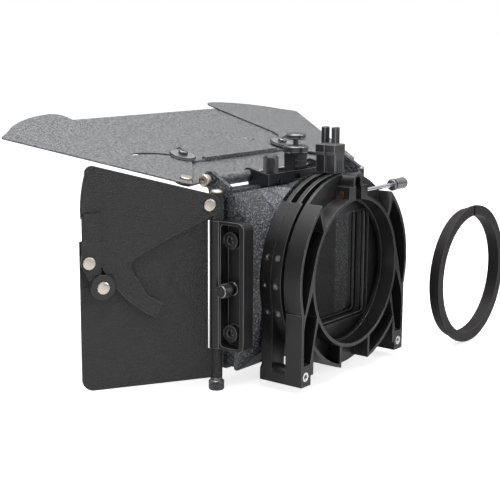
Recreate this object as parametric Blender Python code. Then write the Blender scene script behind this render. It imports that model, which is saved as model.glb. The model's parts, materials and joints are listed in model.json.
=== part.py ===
"""Clip-on matte box with two filter stages, a top flag and two side flags.

Metres, +Z up. The hood looks along -Y and the lens sits on the +Y side, so the origin is the
centre of the clamp's bore on its rear face. +X is the camera operator's left.
"""
import math
from dataclasses import dataclass

import bmesh
import bpy
from mathutils import Matrix, Vector

MM = 0.001
GAP = 0.3 * MM           # clearance between pieces that touch
WELD = 0.001 * MM        # points closer than this are one point after a cut
SIDES = (("left", 1), ("right", -1))
ROUND = 52               # facets on a large circle
MIDDLE = 18              # facets on a knob, a barrel or a boss
SMALL = 12               # facets on a screw or a rivet

# Lens clamp
BORE_R = 65 * MM
LIP_R = 63.9 * MM
CLAMP_DEPTH = 17.1 * MM
CLAMP_DISC = 3.1 * MM
INNER_WALL = 2.9 * MM
OUTER_WALL = 3.0 * MM
WEB = 2.5 * MM
RIM_R = 86.9 * MM
SPIGOT_R = 69.0 * MM
SPIGOT_WALL = 5.8 * MM
SPIGOT_INTO = 1.2 * MM
SLOT_HALF = 4.5 * MM
ARCH_WALL = 2.3 * MM
ARCH_TOP = 81.0 * MM
LUG_WIDTH = 7.9 * MM
LUG_BOTTOM = 65.0 * MM
LUG_TOP = 77.0 * MM

# Feet
FOOT_X = 76.3 * MM
FOOT_Z = -79.6 * MM
FOOT_R = 6.9 * MM
FOOT_SOLE = -88.0 * MM
FOOT_REACH = 1.9 * MM
INSERT_R = 4.3 * MM
INSERT_BORE_R = 2.2 * MM
LEG_INNER_X = 65.6 * MM
LEG_TOP = -25.0 * MM

# Stages
STAGE_START = 20.5 * MM
STAGE_DEPTH = 10.4 * MM
STAGE_GAP = 0.4 * MM
FRONT_EXTRA = 0.8 * MM
APERTURE = 50.0 * MM
APERTURE_CORNER = 8.0 * MM
STAGE_TOP_R = 79.5 * MM
STAGE_SCREW_Z = (21.8 * MM, -2.4 * MM, -26.9 * MM)
STAGE_SCREW_R = 2.5 * MM
STAGE_SCREW_DEEP = 6.0 * MM
STAGE_SCREW_SUNK = 1.0 * MM

# Filter trays
TRAY_HALF = 56.1 * MM
TRAY_THICK = 4.7 * MM
TRAY_BOTTOM = -56.4 * MM
TRAY_TOP_R = 86.3 * MM
TRAY_WINDOW = 48.0 * MM
FILTER_HALF = 50.9 * MM
FILTER_SEAT = 3.2 * MM
TAB_HALF = 5.0 * MM
TAB_HEIGHT = 5.5 * MM
HANDLE_HALF = 7.4 * MM
HANDLE_DEPTH = 10.0 * MM
HANDLE_HEIGHT = 16.5 * MM
HEAD_HALF = 8.6 * MM
HEAD_HEIGHT = 9.2 * MM
PRONG_HALF = 3.7 * MM
PRONG_THICK = 4.6 * MM
PRONG_HEIGHT = 15.0 * MM

# Clamp screw
SCREW_AXIS_DEPTH = 9.1 * MM
SCREW_AXIS_Z = 69.8 * MM
SCREW_R = 2.1 * MM
SCREW_REACH = 70.0 * MM
GRIP_R = 5.4 * MM
GRIP_LENGTH = 22.0 * MM
NUT_R = 3.2 * MM
NUT_LENGTH = 4.0 * MM

# Hood
HOOD_X = 100.0 * MM
HOOD_HALF_Z = 78.4 * MM
HOOD_DROP = 2.4 * MM     # how far the frame's middle lies below the bore's
HOOD_WALL = 2.6 * MM
HOOD_CORNER = 5.0 * MM
HOOD_SIDE_STEPS = 5
HOOD_CORNER_STEPS = 4
FACET_SIDE = 14.0        # where the ridges meet the round end, in degrees
FACET_TOP = 42.0
HOOD_REAR_GAP = 0.3 * MM
HOOD_FLARE = 16.9 * MM
HOOD_GROOVE = 2.5 * MM
HOOD_GROOVE_AFTER = 0.6 * MM
HOOD_GROOVE_LONG = 11.2 * MM
HOOD_FRAME = 26.8 * MM

# Top hinge
TOP_HINGE_DEPTH = 85.7 * MM
TOP_HINGE_Z = 85.3 * MM
TOP_TILT = math.radians(15.0)
ROD_R = 2.2 * MM
BARREL_R = 4.0 * MM
EAR_R = 7.4 * MM
EAR_THICK = 4.5 * MM
EAR_OUTBOARD = 2.5 * MM
EAR_BACK = 22.0 * MM
EAR_HEEL = 5.0 * MM
CAP_R = 5.6 * MM
CAP_LENGTH = 8.0 * MM
CAP_NECK_R = 3.4 * MM
CAP_NECK = 3.2 * MM
CENTRE_EAR_R = 5.9 * MM
CENTRE_HALF = 48.5 * MM
CENTRE_SHEET = 2.4 * MM
CENTRE_WALL_BACK = 22.9 * MM
CENTRE_WALL_HEIGHT = 10.0 * MM
CENTRE_FLOOR = 1.6 * MM
CENTRE_FLOOR_BACK = 7.7 * MM
NOTCH_WIDTH = 11.0 * MM
NOTCH_HEIGHT = 5.2 * MM
NOTCHES = ((35.9 * MM, -1.0 * MM), (4.9 * MM, 2.0 * MM), (-35.1 * MM, 2.0 * MM))  # X, height

# Knobs on the centre bracket
KNOB_BACK = 10.3 * MM
KNOB_X = 28.9 * MM
KNOB_R = 6.7 * MM
KNOB_HEIGHT = 20.0 * MM
KNOB_FLUTES = 24
KNOB_FLUTE_DEEP = 0.4 * MM
STUD_R = 2.0 * MM
PLATE_THICK = 2.5 * MM
PLATE_REAR = 6.4 * MM
PLATE_AHEAD = 4.1 * MM
PLATE_INWARD = 25.0 * MM
PLATE_OUTWARD = 8.0 * MM
PLATE_POINT = 15.0 * MM
TOWER_X = -9.1 * MM
TOWER_HALF = 9.0 * MM
TOWER_DEEP = 15.0 * MM
TOWER_HEIGHT = 21.5 * MM
BUTTON_STEM_R = 3.0 * MM
BUTTON_NECK_R = 2.4 * MM
BUTTON_LOWER_R = 11.7 * MM
BUTTON_UPPER_R = 9.4 * MM
BUTTON_TRAVEL = 4.0 * MM

# Top flag, measured along the flag from the hinge axis
BASE_UNDER = -5.5 * MM
BASE_THICK = 1.4 * MM
BASE_REAR = -3.8 * MM
BASE_AHEAD = 4.0 * MM
BASE_ROUND_R = 9.0 * MM
PANEL_REAR = 46.5 * MM
PANEL_FRONT = 172.5 * MM
PANEL_HALF = 109.0 * MM
PANEL_SHOULDER = 28.0 * MM
PANEL_THICK = 1.2 * MM
BAR_HALF = 54.5 * MM
BAR_WIDTH = 3.5 * MM
BAR_RISE = 2.6 * MM
WING_THICK = 1.2 * MM
WING_PIVOT_X = 118.9 * MM
WING_PIVOT_S = 12.4 * MM
WING_PIVOT_END_R = 14.0 * MM
WING_INNER_X = 105.0 * MM
WING_TIP_X = 209.0 * MM
WING_TIP_S = 139.8 * MM
WING_TIP_R = 3.5 * MM
WING_BULGE = 10.3 * MM
WING_AHEAD = 16.0 * MM
WING_CORNER_R = 11.0 * MM
WING_NECK = 20.0 * MM
WING_SLOT_R = 62.0 * MM
WING_SLOT_START = 88.0
WING_SLOT_END = 136.0
WASHER_ANGLE = 135.0
WASHER_R = 12.2 * MM
WASHER_THICK = 2.4 * MM
WING_SCREW_R = 1.7 * MM
WING_SCREW_HEAD_R = 4.4 * MM
WING_SCREW_HEAD = 3.0 * MM
PIVOT_HEAD_R = 5.4 * MM
PIVOT_HEAD = 1.2 * MM
PIVOT_R = 2.5 * MM
PIVOT_COLLAR_R = 7.5 * MM

# Side brackets
BRACKET_WALL = 2.6 * MM
BRACKET_RIM_X = 114.0 * MM
BRACKET_REAR = 38.8 * MM
BRACKET_REAR_WALL = 4.6 * MM
BRACKET_FRONT_WALL = 1.0 * MM
BRACKET_TOP = 53.4 * MM
BRACKET_BOTTOM = -58.0 * MM
BRACKET_CORNER = 6.5 * MM
BOSS_R = 7.5 * MM
BOSS_DEPTH = 56.9 * MM
BOSS_HEIGHTS = {"upper": 36.8 * MM, "lower": -44.2 * MM}
BOSS_FACE = 6.0 * MM
PAD_DEEP = 14.0 * MM
PAD_PROUD = 0.4 * MM
BRACKET_SCREW_R = 1.6 * MM
BRACKET_SCREW_HEAD_R = 3.0 * MM
BRACKET_SCREW_HEAD = 2.4 * MM
BRACKET_SCREW_SUNK = 0.6 * MM
STUD_BACK = 12.5 * MM
STUD_Z = -5.7 * MM
ACCESSORY_R = 5.8 * MM
ACCESSORY_LENGTH = 17.0 * MM
ACCESSORY_FLANGE_R = 6.3 * MM
ACCESSORY_FLANGE = 1.2 * MM

# Side flags, measured from the hinge axis: u along the flag, z up, n towards the lens side
HINGE_X = 110.5 * MM
HINGE_DEPTH = 71.0 * MM
SIDE_ANGLE = {1: math.radians(30.0), -1: math.radians(84.0)}
ARM_DROP = {1: 0.0, -1: 14.0}    # how far each extension plate is lowered, in degrees
PIN_R = 3.2 * MM
PIN_TOP_R = 2.4 * MM
KNUCKLE_R = 5.3 * MM
BARREL_WALL_R = 6.2 * MM
FLAG_BOTTOM = -84.6 * MM
FLAG_TOP = 76.6 * MM
FLAG_LENGTH = 118.6 * MM
FLAG_EDGE = 7.8 * MM
FLAG_THICK = 1.6 * MM
FLAG_CORNER = 10.0 * MM
FLAG_OUTER_TOP = 42.0 * MM
FLAG_BEND = (60.0 * MM, 55.0 * MM)
FLAG_TOP_END = 16.0 * MM
ARM_THICK = 1.2 * MM
ARM_LEVEL = 3.9 * MM
ARM_PIVOT_U = 8.0 * MM
ARM_PIVOT_Z = 67.2 * MM
ARM_SHOULDER_R = 2.0 * MM
ARM_END_R = 9.5 * MM
ARM_TAIL_R = 104.3 * MM
ARM_TAIL_WIDTH = 13.0 * MM
ARM_TIP_R = 110.5 * MM
GUIDE_CLEAR = 1.8 * MM
GUIDE_ANGLES = (-22.0, -34.0)
GUIDE_BOSS_R = 6.5 * MM
GUIDE_FINGER = 15.0 * MM
GUIDE_FINGER_TOP = 65.5 * MM
FRICTION_R = 10.9 * MM
FRICTION_THICK = 1.5 * MM
RIVET_HEAD_R = 5.3 * MM
RIVET_HEAD = 1.3 * MM
RIVET_R = 1.6 * MM
RIVET_TAIL_R = 2.0 * MM
SIDE_KNOB_R = 6.3 * MM
SIDE_KNOB_HEIGHT = 13.0 * MM
PIN_BELOW = 6.0 * MM
SIDE_KNOB_NECK = 2.4 * MM
DOME_R = 5.6 * MM
DOME_HEIGHT = 3.0 * MM

# Reduction ring
RING_FIT = 0.2 * MM
RING_FLANGE = 3.6 * MM
RING_BORE_R = 58.6 * MM
RING_FLANGE_DEPTH = 3.0 * MM
RING_DEPTH = 12.0 * MM
RING_SPLIT = 3.0 * MM
RING_PLACE = Vector((-165.0, 24.0, -25.4)) * MM


@dataclass(frozen=True)
class Finish:
    """Look of one material, for the CAD views and the record."""
    name: str
    color: tuple
    roughness: float
    metallic: float


MOULDED = Finish("moulded_black", (0.02, 0.02, 0.023), 0.42, 0.0)
PEBBLED = Finish("pebbled_black", (0.03, 0.032, 0.036), 0.5, 0.0)
GRAINED = Finish("grained_black", (0.022, 0.022, 0.024), 0.6, 0.1)
POWDER = Finish("powder_grey", (0.16, 0.165, 0.17), 0.55, 0.2)
DARK_METAL = Finish("dark_metal", (0.06, 0.06, 0.065), 0.4, 0.8)
NICKEL = Finish("nickel", (0.62, 0.58, 0.54), 0.28, 1.0)
STEEL = Finish("bright_steel", (0.7, 0.7, 0.72), 0.2, 1.0)
BRASS = Finish("brass", (0.6, 0.42, 0.2), 0.3, 1.0)
RUBBER = Finish("rubber", (0.012, 0.012, 0.012), 0.8, 0.0)
GRIP_GREY = Finish("grip_grey", (0.2, 0.21, 0.22), 0.35, 0.6)
MATTE = Finish("matte_black", (0.015, 0.013, 0.016), 0.75, 0.0)


def material(finish):
    """Return the shared material for a finish, made on first use."""
    found = bpy.data.materials.get(finish.name)
    if found:
        return found
    made = bpy.data.materials.new(finish.name)
    made.use_nodes = True
    shader = made.node_tree.nodes["Principled BSDF"]
    shader.inputs["Base Color"].default_value = (*finish.color, 1.0)
    shader.inputs["Roughness"].default_value = finish.roughness
    shader.inputs["Metallic"].default_value = finish.metallic
    return made


# Frames: each maps a drawing plane and its depth into the world.

def facing_front():
    """Drawing plane X, Z; depth runs forward from the clamp's rear face."""
    return Matrix(((1, 0, 0, 0), (0, 0, -1, 0), (0, 1, 0, 0), (0, 0, 0, 1)))


def along_x(x, depth=0.0, z=0.0, sign=1):
    """Drawing plane: forward depth, Z; the extrusion runs outwards along X on the given side."""
    return Matrix(((0, 0, sign, sign * x), (-1, 0, 0, -depth), (0, 1, 0, z), (0, 0, 0, 1)))


def upright(x, depth, z):
    """Drawing plane X, forward depth; the extrusion runs up from z."""
    return Matrix(((1, 0, 0, x), (0, -1, 0, -depth), (0, 0, 1, z), (0, 0, 0, 1)))


def top_flag(level=0.0, sign=1):
    """Drawing plane X, distance along the flag; the extrusion rises from the given level."""
    c, s = math.cos(TOP_TILT), math.sin(TOP_TILT)
    return Matrix(((sign, 0, 0, 0),
                   (0, -c, s, -TOP_HINGE_DEPTH + level * s),
                   (0, s, c, TOP_HINGE_Z + level * c),
                   (0, 0, 0, 1)))


def side_flag(level=0.0, sign=1):
    """Drawing plane u, Z of a side flag; the extrusion runs towards the lens side."""
    c, s = math.cos(SIDE_ANGLE[sign]), math.sin(SIDE_ANGLE[sign])
    return Matrix(((sign * c, 0, sign * s, sign * (HINGE_X + level * s)),
                   (-s, 0, c, -HINGE_DEPTH + level * c),
                   (0, 1, 0, 0),
                   (0, 0, 0, 1)))


def turn_about(x, y, degrees):
    """Turn within a drawing plane about one of its points."""
    place = Matrix.Translation((x, y, 0))
    return place @ Matrix.Rotation(math.radians(degrees), 4, "Z") @ place.inverted()


# Outlines

def arc(cx, cy, radius, start, end, steps):
    """Points on an arc, with angles in degrees, both ends included."""
    points = []
    for i in range(steps + 1):
        angle = math.radians(start + (end - start) * i / steps)
        points.append((cx + radius * math.cos(angle), cy + radius * math.sin(angle)))
    return points


def circle(radius, steps=ROUND, cx=0.0, cy=0.0):
    """Closed circle as an outline."""
    return arc(cx, cy, radius, 0, 360, steps)[:-1]


def box_outline(x0, x1, y0, y1):
    """Axis-parallel rectangle."""
    return [(x0, y0), (x1, y0), (x1, y1), (x0, y1)]


def rounded_box(x0, x1, y0, y1, radius, steps=5):
    """Rectangle with equal round corners."""
    points = []
    corners = ((x1 - radius, y1 - radius, 0), (x0 + radius, y1 - radius, 90),
               (x0 + radius, y0 + radius, 180), (x1 - radius, y0 + radius, 270))
    for cx, cy, start in corners:
        points += arc(cx, cy, radius, start, start + 90, steps)
    return points


def on_circle(radius, z=None, x=None):
    """The missing coordinate of a point on a circle about the origin."""
    known = z if x is None else x
    return math.sqrt(radius * radius - known * known)


def polar(radius, degrees, cx=0.0, cy=0.0):
    """Point at an angle on a circle."""
    return (cx + radius * math.cos(math.radians(degrees)),
            cy + radius * math.sin(math.radians(degrees)))


def angle_of(x, y):
    """Angle of a point in degrees."""
    return math.degrees(math.atan2(y, x))


# Solids

def add_prism(bm, outline, frame, start, end):
    """Extrude an outline between two depths of a frame."""
    low = [bm.verts.new(frame @ Vector((x, y, start))) for x, y in outline]
    high = [bm.verts.new(frame @ Vector((x, y, end))) for x, y in outline]
    bm.faces.new(low)
    bm.faces.new(list(reversed(high)))
    for i in range(len(outline)):
        j = (i + 1) % len(outline)
        bm.faces.new((low[i], high[i], high[j], low[j]))


def add_turned(bm, profile, frame, steps=SMALL):
    """Turn a profile of (radius, height) about the frame's third axis. A zero radius is a pole."""
    rings = []
    for radius, height in profile:
        if radius == 0.0:
            rings.append([bm.verts.new(frame @ Vector((0, 0, height)))])
            continue
        rings.append([bm.verts.new(frame @ Vector((x, y, height)))
                      for x, y in circle(radius, steps)])
    closed = len(rings[0]) > 1
    pairs = list(zip(rings, rings[1:] + rings[:1])) if closed else list(zip(rings, rings[1:]))
    for lower, upper in pairs:
        for i in range(steps):
            j = (i + 1) % steps
            face = []
            for vert in (lower[i % len(lower)], lower[j % len(lower)],
                         upper[j % len(upper)], upper[i % len(upper)]):
                if vert not in face:
                    face.append(vert)
            bm.faces.new(face)


def add_rod(bm, frame, radius, start, end, steps=SMALL):
    """Plain cylinder along the frame's third axis."""
    add_turned(bm, [(0.0, start), (radius, start), (radius, end), (0.0, end)], frame, steps)


def add_tube(bm, frame, inner, outer, start, end, steps=SMALL):
    """Plain ring along the frame's third axis."""
    add_turned(bm, [(inner, start), (outer, start), (outer, end), (inner, end)], frame, steps)


def finish_mesh(bm, name):
    """Close a bmesh into a mesh whose faces look outwards."""
    bmesh.ops.recalc_face_normals(bm, faces=bm.faces)
    mesh = bpy.data.meshes.new(name)
    bm.to_mesh(mesh)
    bm.free()
    return mesh


def solid(name, finish, draw, origin=(0, 0, 0)):
    """Make a named object from a drawing function, with its origin at the given place."""
    bm = bmesh.new()
    draw(bm)
    mesh = finish_mesh(bm, name)
    mesh.transform(Matrix.Translation(-Vector(origin)))
    mesh.materials.append(material(finish))
    obj = bpy.data.objects.new(name, mesh)
    obj.location = origin
    bpy.context.scene.collection.objects.link(obj)
    return obj


def welded(mesh):
    """Close the hairline seams that a Boolean can leave."""
    bm = bmesh.new()
    bm.from_mesh(mesh)
    bmesh.ops.remove_doubles(bm, verts=bm.verts, dist=WELD)
    bmesh.ops.dissolve_degenerate(bm, edges=bm.edges, dist=WELD)
    bm.to_mesh(mesh)
    bm.free()
    return mesh


def combine(target, operation, *drawings):
    """Apply one Boolean after another to an object, each with a drawing function as its cutter."""
    for draw in drawings:
        bm = bmesh.new()
        draw(bm)
        cutter = bpy.data.objects.new("cutter", finish_mesh(bm, "cutter"))
        cutter.hide_render = True
        cutter.display_type = "WIRE"
        bpy.context.scene.collection.objects.link(cutter)
        step = target.modifiers.new(operation.lower(), "BOOLEAN")
        step.operation = operation
        step.solver = "EXACT"
        step.object = cutter
        bpy.context.view_layer.update()
        result = target.evaluated_get(bpy.context.evaluated_depsgraph_get())
        mesh = bpy.data.meshes.new_from_object(result)
        target.modifiers.clear()
        target.data = welded(mesh)
        bpy.data.objects.remove(cutter)
    target.data.name = target.name
    return target


def cut(target, *drawings):
    """Take shapes away from an object."""
    return combine(target, "DIFFERENCE", *drawings)


def fuse(target, *drawings):
    """Add shapes to an object, as one body."""
    return combine(target, "UNION", *drawings)


def prism(outline, frame, start, end):
    """Drawing function for one prism."""
    return lambda bm: add_prism(bm, outline, frame, start, end)


def rod(frame, radius, start, end, steps=SMALL):
    """Drawing function for one cylinder."""
    return lambda bm: add_rod(bm, frame, radius, start, end, steps)


def tube(frame, inner, outer, start, end, steps=SMALL):
    """Drawing function for one ring."""
    return lambda bm: add_tube(bm, frame, inner, outer, start, end, steps)


def turned(profile, frame, steps=SMALL):
    """Drawing function for one turned piece."""
    return lambda bm: add_turned(bm, profile, frame, steps)


def smooth_by_angle(degrees=35.0):
    """Shade round faces smooth on every piece and keep real edges sharp."""
    for obj in bpy.context.scene.objects:
        if obj.type == "MESH":
            obj.data.shade_smooth()
            obj.data.set_sharp_from_angle(angle=math.radians(degrees))


# Derived places

FRONT = facing_front()
FRONT_START = STAGE_START + STAGE_DEPTH + STAGE_GAP
FRONT_END = FRONT_START + STAGE_DEPTH + FRONT_EXTRA
FOOT_OUTER_X = FOOT_X + FOOT_R
DISC_START = CLAMP_DEPTH - CLAMP_DISC
INNER_R = BORE_R + INNER_WALL
POCKET_R = RIM_R - OUTER_WALL
CORNER_X = TRAY_HALF + GAP
CORNER_Z = on_circle(RIM_R, x=CORNER_X)
VEE_X = CORNER_X - 6.0 * MM
PANEL_UNDER = BASE_UNDER + BASE_THICK + GAP
WING_UNDER = PANEL_UNDER + PANEL_THICK + GAP
WASHER_UNDER = WING_UNDER + WING_THICK + GAP
WASHER_PLACE = polar(WING_SLOT_R, WASHER_ANGLE, WING_PIVOT_X, WING_PIVOT_S)
HOOD_START = FRONT_END + HOOD_REAR_GAP
HOOD_FLARE_END = HOOD_START + HOOD_FLARE
HOOD_GROOVE_START = HOOD_FLARE_END + HOOD_GROOVE_AFTER
HOOD_GROOVE_END = HOOD_GROOVE_START + HOOD_GROOVE_LONG
HOOD_FRONT = HOOD_FLARE_END + HOOD_FRAME
HOOD_TOP = HOOD_HALF_Z - HOOD_DROP
HOOD_INNER = HOOD_WALL + HOOD_GROOVE
EAR_X = HOOD_X + EAR_OUTBOARD - EAR_THICK
EAR_OUTER_X = EAR_X + EAR_THICK
CENTRE_WALL_DEPTH = TOP_HINGE_DEPTH - CENTRE_WALL_BACK
CENTRE_WALL_TOP = HOOD_TOP + GAP + CENTRE_WALL_HEIGHT
CENTRE_FLOOR_END = TOP_HINGE_DEPTH - CENTRE_FLOOR_BACK
KNOB_DEPTH = TOP_HINGE_DEPTH - KNOB_BACK
GROOVE_X = HOOD_X - HOOD_GROOVE
BRACKET_BACK_X = HOOD_X + PAD_PROUD + GAP
BACK_PLATE_X = BRACKET_BACK_X + BRACKET_WALL
BOSS_FACE_X = BACK_PLATE_X + BOSS_FACE
ACCESSORY_END_X = BACK_PLATE_X + ACCESSORY_LENGTH
STUD_DEPTH = HINGE_DEPTH - STUD_BACK
GUIDE_PIVOT_R = ARM_TAIL_R + GUIDE_BOSS_R + GUIDE_CLEAR
ARM_TOP_LEVEL = ARM_LEVEL + ARM_THICK
GUIDE_LEVEL = ARM_TOP_LEVEL + GAP
WASHER_LEVEL = GUIDE_LEVEL + ARM_THICK + GAP


def foot_outline():
    """Foot section: round top, flat sole."""
    left, right = FOOT_X - FOOT_R, FOOT_X + FOOT_R
    return [(left, FOOT_SOLE), (right, FOOT_SOLE)] + arc(FOOT_X, FOOT_Z, FOOT_R, 0, 180, 10)


def leg_outline():
    """Leg between the rim and the foot."""
    return [(LEG_INNER_X, LEG_TOP), (LEG_INNER_X, FOOT_Z), (FOOT_OUTER_X, FOOT_Z),
            (FOOT_OUTER_X, LEG_TOP)]


def mirrored(outline, sign):
    """Outline on the other side of the middle plane."""
    return [(sign * x, y) for x, y in outline]


def outer_pocket():
    """Pocket between the outer wall and the first diagonal web, right side."""
    web_x = VEE_X + WEB
    start = (web_x, on_circle(INNER_R, x=web_x))
    top_x = CORNER_X + WEB
    top = (top_x, on_circle(POCKET_R, x=top_x))
    tip = polar(POCKET_R, -18.5)
    inner = polar(INNER_R, 19.6)
    outline = [start, top]
    outline += arc(0, 0, POCKET_R, angle_of(*top), -18.5, 14)[1:-1]
    outline += [tip, inner]
    outline += arc(0, 0, INNER_R, 19.6, angle_of(*start), 8)[1:-1]
    return outline


def leg_pocket():
    """Pocket inside the leg, right side."""
    leg_wall_x = FOOT_OUTER_X - OUTER_WALL
    bottom = FOOT_Z + FOOT_R + OUTER_WALL
    tip = polar(INNER_R, -5.0)
    outline = [tip, (leg_wall_x - WEB, -28.0 * MM), (leg_wall_x, -38.0 * MM), (leg_wall_x, bottom),
               (LEG_INNER_X + 2 * WEB, bottom)]
    outline += [polar(INNER_R, -26.0)] + arc(0, 0, INNER_R, -26.0, -5.0, 6)[1:-1]
    return outline


def lower_pocket():
    """Pocket between the inner wall and the bottom arc, right side."""
    web_x = 24.3 * MM
    inner_end = angle_of(web_x, -on_circle(INNER_R, x=web_x))
    outer_end = angle_of(web_x, -on_circle(POCKET_R, x=web_x))
    outline = arc(0, 0, POCKET_R, -39.5, outer_end, 8)
    outline += arc(0, 0, INNER_R, inner_end, -30.0, 8)
    return outline


def sector_outline(half_top, half_bottom, radius):
    """Open sector at the top, between the two slanted webs."""
    top = RIM_R + 20 * MM
    right = [(half_bottom, on_circle(radius, x=half_bottom)), (half_top, CORNER_Z + MM),
             (half_top, top)]
    left = [(-x, z) for x, z in reversed(right)]
    start = angle_of(*right[0])
    return right + left + arc(0, 0, radius, 180 - start, start, 12)[1:-1]


def build_clamp():
    """Split clamp ring with its truss, arch, lugs, screw and nut."""
    clamp = solid("lens_clamp_ring", MOULDED, prism(circle(RIM_R), FRONT, 0, CLAMP_DEPTH))
    for sign in (1, -1):
        fuse(clamp, prism(mirrored(leg_outline(), sign), FRONT, 0, CLAMP_DEPTH),
             prism(mirrored(foot_outline(), sign), FRONT, 0, CLAMP_DEPTH))
    fuse(clamp, prism(circle(SPIGOT_R + SPIGOT_WALL), FRONT, CLAMP_DEPTH - MM,
                      STAGE_START + SPIGOT_INTO))
    for sign in (1, -1):
        for pocket in (outer_pocket(), leg_pocket(), lower_pocket()):
            cut(clamp, prism(mirrored(pocket, sign), FRONT, -MM, DISC_START))
        cut(clamp, prism(circle(INSERT_R + GAP, SMALL, sign * FOOT_X, FOOT_Z), FRONT, -MM,
                         CLAMP_DEPTH + MM))
    cut(clamp, prism(sector_outline(CORNER_X, VEE_X, INNER_R), FRONT, -MM, DISC_START))
    notch_half = 21.8 * MM
    notch = [(notch_half, -RIM_R - MM), (notch_half, -on_circle(INNER_R, x=notch_half))]
    notch_angle = angle_of(notch_half, on_circle(INNER_R, x=notch_half))
    notch += arc(0, 0, INNER_R, -notch_angle, notch_angle - 180, 8)[1:-1]
    notch += [(-x, z) for x, z in reversed(notch[:2])]
    cut(clamp, prism(notch, FRONT, -MM, DISC_START))
    arch_half = SLOT_HALF + ARCH_WALL
    arch = [(-arch_half, BORE_R + MM), (arch_half, BORE_R + MM)]
    arch += arc(0, ARCH_TOP, arch_half, 0, 180, 12)
    lugs = box_outline(-arch_half - LUG_WIDTH, arch_half + LUG_WIDTH, LUG_BOTTOM, LUG_TOP)
    fuse(clamp, prism(arch, FRONT, MM, DISC_START + MM), prism(lugs, FRONT, 0, DISC_START + MM))
    slot = [(-SLOT_HALF, 0.0), (SLOT_HALF, 0.0)] + arc(0, ARCH_TOP, SLOT_HALF, 0, 180, 12)
    cut(clamp, prism(circle(BORE_R), FRONT, -MM, DISC_START),
        prism(circle(LIP_R), FRONT, -MM, STAGE_START),
        prism(circle(SPIGOT_R), FRONT, CLAMP_DEPTH, STAGE_START + 2 * MM),
        prism(slot, FRONT, -MM, STAGE_START + 2 * MM))
    screw_frame = along_x(0, SCREW_AXIS_DEPTH, SCREW_AXIS_Z)
    lug_end = arch_half + LUG_WIDTH
    seat = lug_end - NUT_LENGTH - GAP
    cut(clamp, rod(screw_frame, SCREW_R + GAP, -lug_end - MM, lug_end + MM),
        rod(screw_frame, NUT_R + GAP, seat, lug_end + MM))

    def draw_screw(bm):
        add_rod(bm, screw_frame, SCREW_R, -SCREW_REACH, seat - GAP)

    def draw_grip(bm):
        start = -SCREW_REACH - GAP
        chamfer = 0.8 * MM
        profile = [(0.0, start), (GRIP_R - chamfer, start), (GRIP_R, start - chamfer),
                   (GRIP_R, start - GRIP_LENGTH + chamfer),
                   (GRIP_R - chamfer, start - GRIP_LENGTH), (0.0, start - GRIP_LENGTH)]
        add_turned(bm, profile, screw_frame)

    axis_point = (0, -SCREW_AXIS_DEPTH, SCREW_AXIS_Z)
    solid("clamp_screw", STEEL, draw_screw, axis_point)
    solid("clamp_handle", GRIP_GREY, draw_grip, axis_point)
    solid("clamp_nut", BRASS, rod(screw_frame, NUT_R, seat + GAP / 2, lug_end - GAP))
    for side, sign in SIDES:
        solid(f"{side}_foot_insert", STEEL,
              tube(FRONT @ Matrix.Translation((sign * FOOT_X, FOOT_Z, 0)), INSERT_BORE_R,
                   INSERT_R, GAP, CLAMP_DEPTH - GAP, MIDDLE))


def stage_body(name, start, end, with_legs):
    """One filter stage: a rim with a slot for its tray, open at the top."""
    body = solid(name, MOULDED, prism(circle(RIM_R), FRONT, start, end))
    middle = start + STAGE_DEPTH / 2
    half_slot = TRAY_THICK / 2 + GAP
    if with_legs:
        for sign in (1, -1):
            fuse(body, prism(mirrored(leg_outline(), sign), FRONT, start, end),
                 prism(mirrored(foot_outline(), sign), FRONT, CLAMP_DEPTH + GAP,
                       end + FOOT_REACH))
        fuse(body, tube(FRONT, SPIGOT_R + GAP, SPIGOT_R + SPIGOT_WALL - GAP,
                        start - STAGE_GAP - SPIGOT_INTO + GAP, start + MM, ROUND))
    else:
        groove_out = SPIGOT_R + SPIGOT_WALL + GAP
        cut(body, tube(FRONT, SPIGOT_R - GAP, groove_out, start - MM,
                       start + SPIGOT_INTO + GAP, ROUND),
            tube(FRONT, SPIGOT_R - GAP, groove_out, end - SPIGOT_INTO, end + MM, ROUND))
    window = rounded_box(-APERTURE, APERTURE, -APERTURE, APERTURE, APERTURE_CORNER)
    slot = box_outline(-CORNER_X, CORNER_X, TRAY_BOTTOM - GAP, RIM_R + 20 * MM)
    top = [(CORNER_X, on_circle(STAGE_TOP_R, x=CORNER_X)), (CORNER_X, RIM_R + MM),
           (-CORNER_X, RIM_R + MM), (-CORNER_X, on_circle(STAGE_TOP_R, x=CORNER_X))]
    corner = angle_of(*top[0])
    top += arc(0, 0, STAGE_TOP_R, 180 - corner, corner, 12)[1:-1]
    cut(body, prism(window, FRONT, start - 2 * MM, end + MM),
        prism(slot, FRONT, middle - half_slot, middle + half_slot),
        prism(top, FRONT, start - MM, end + MM))
    for sign in (1, -1):
        for z in STAGE_SCREW_Z:
            at = along_x(0, middle, z, sign)
            surface = on_circle(RIM_R, z=z)
            floor = surface - STAGE_SCREW_DEEP
            top = surface - STAGE_SCREW_SUNK
            cut(body, rod(at, STAGE_SCREW_R + GAP, floor, RIM_R + MM))
            # The set screws are part of their casting here, joined at the floor of the hole.
            fuse(body, rod(at, STAGE_SCREW_R, floor - MM, top))


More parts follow.
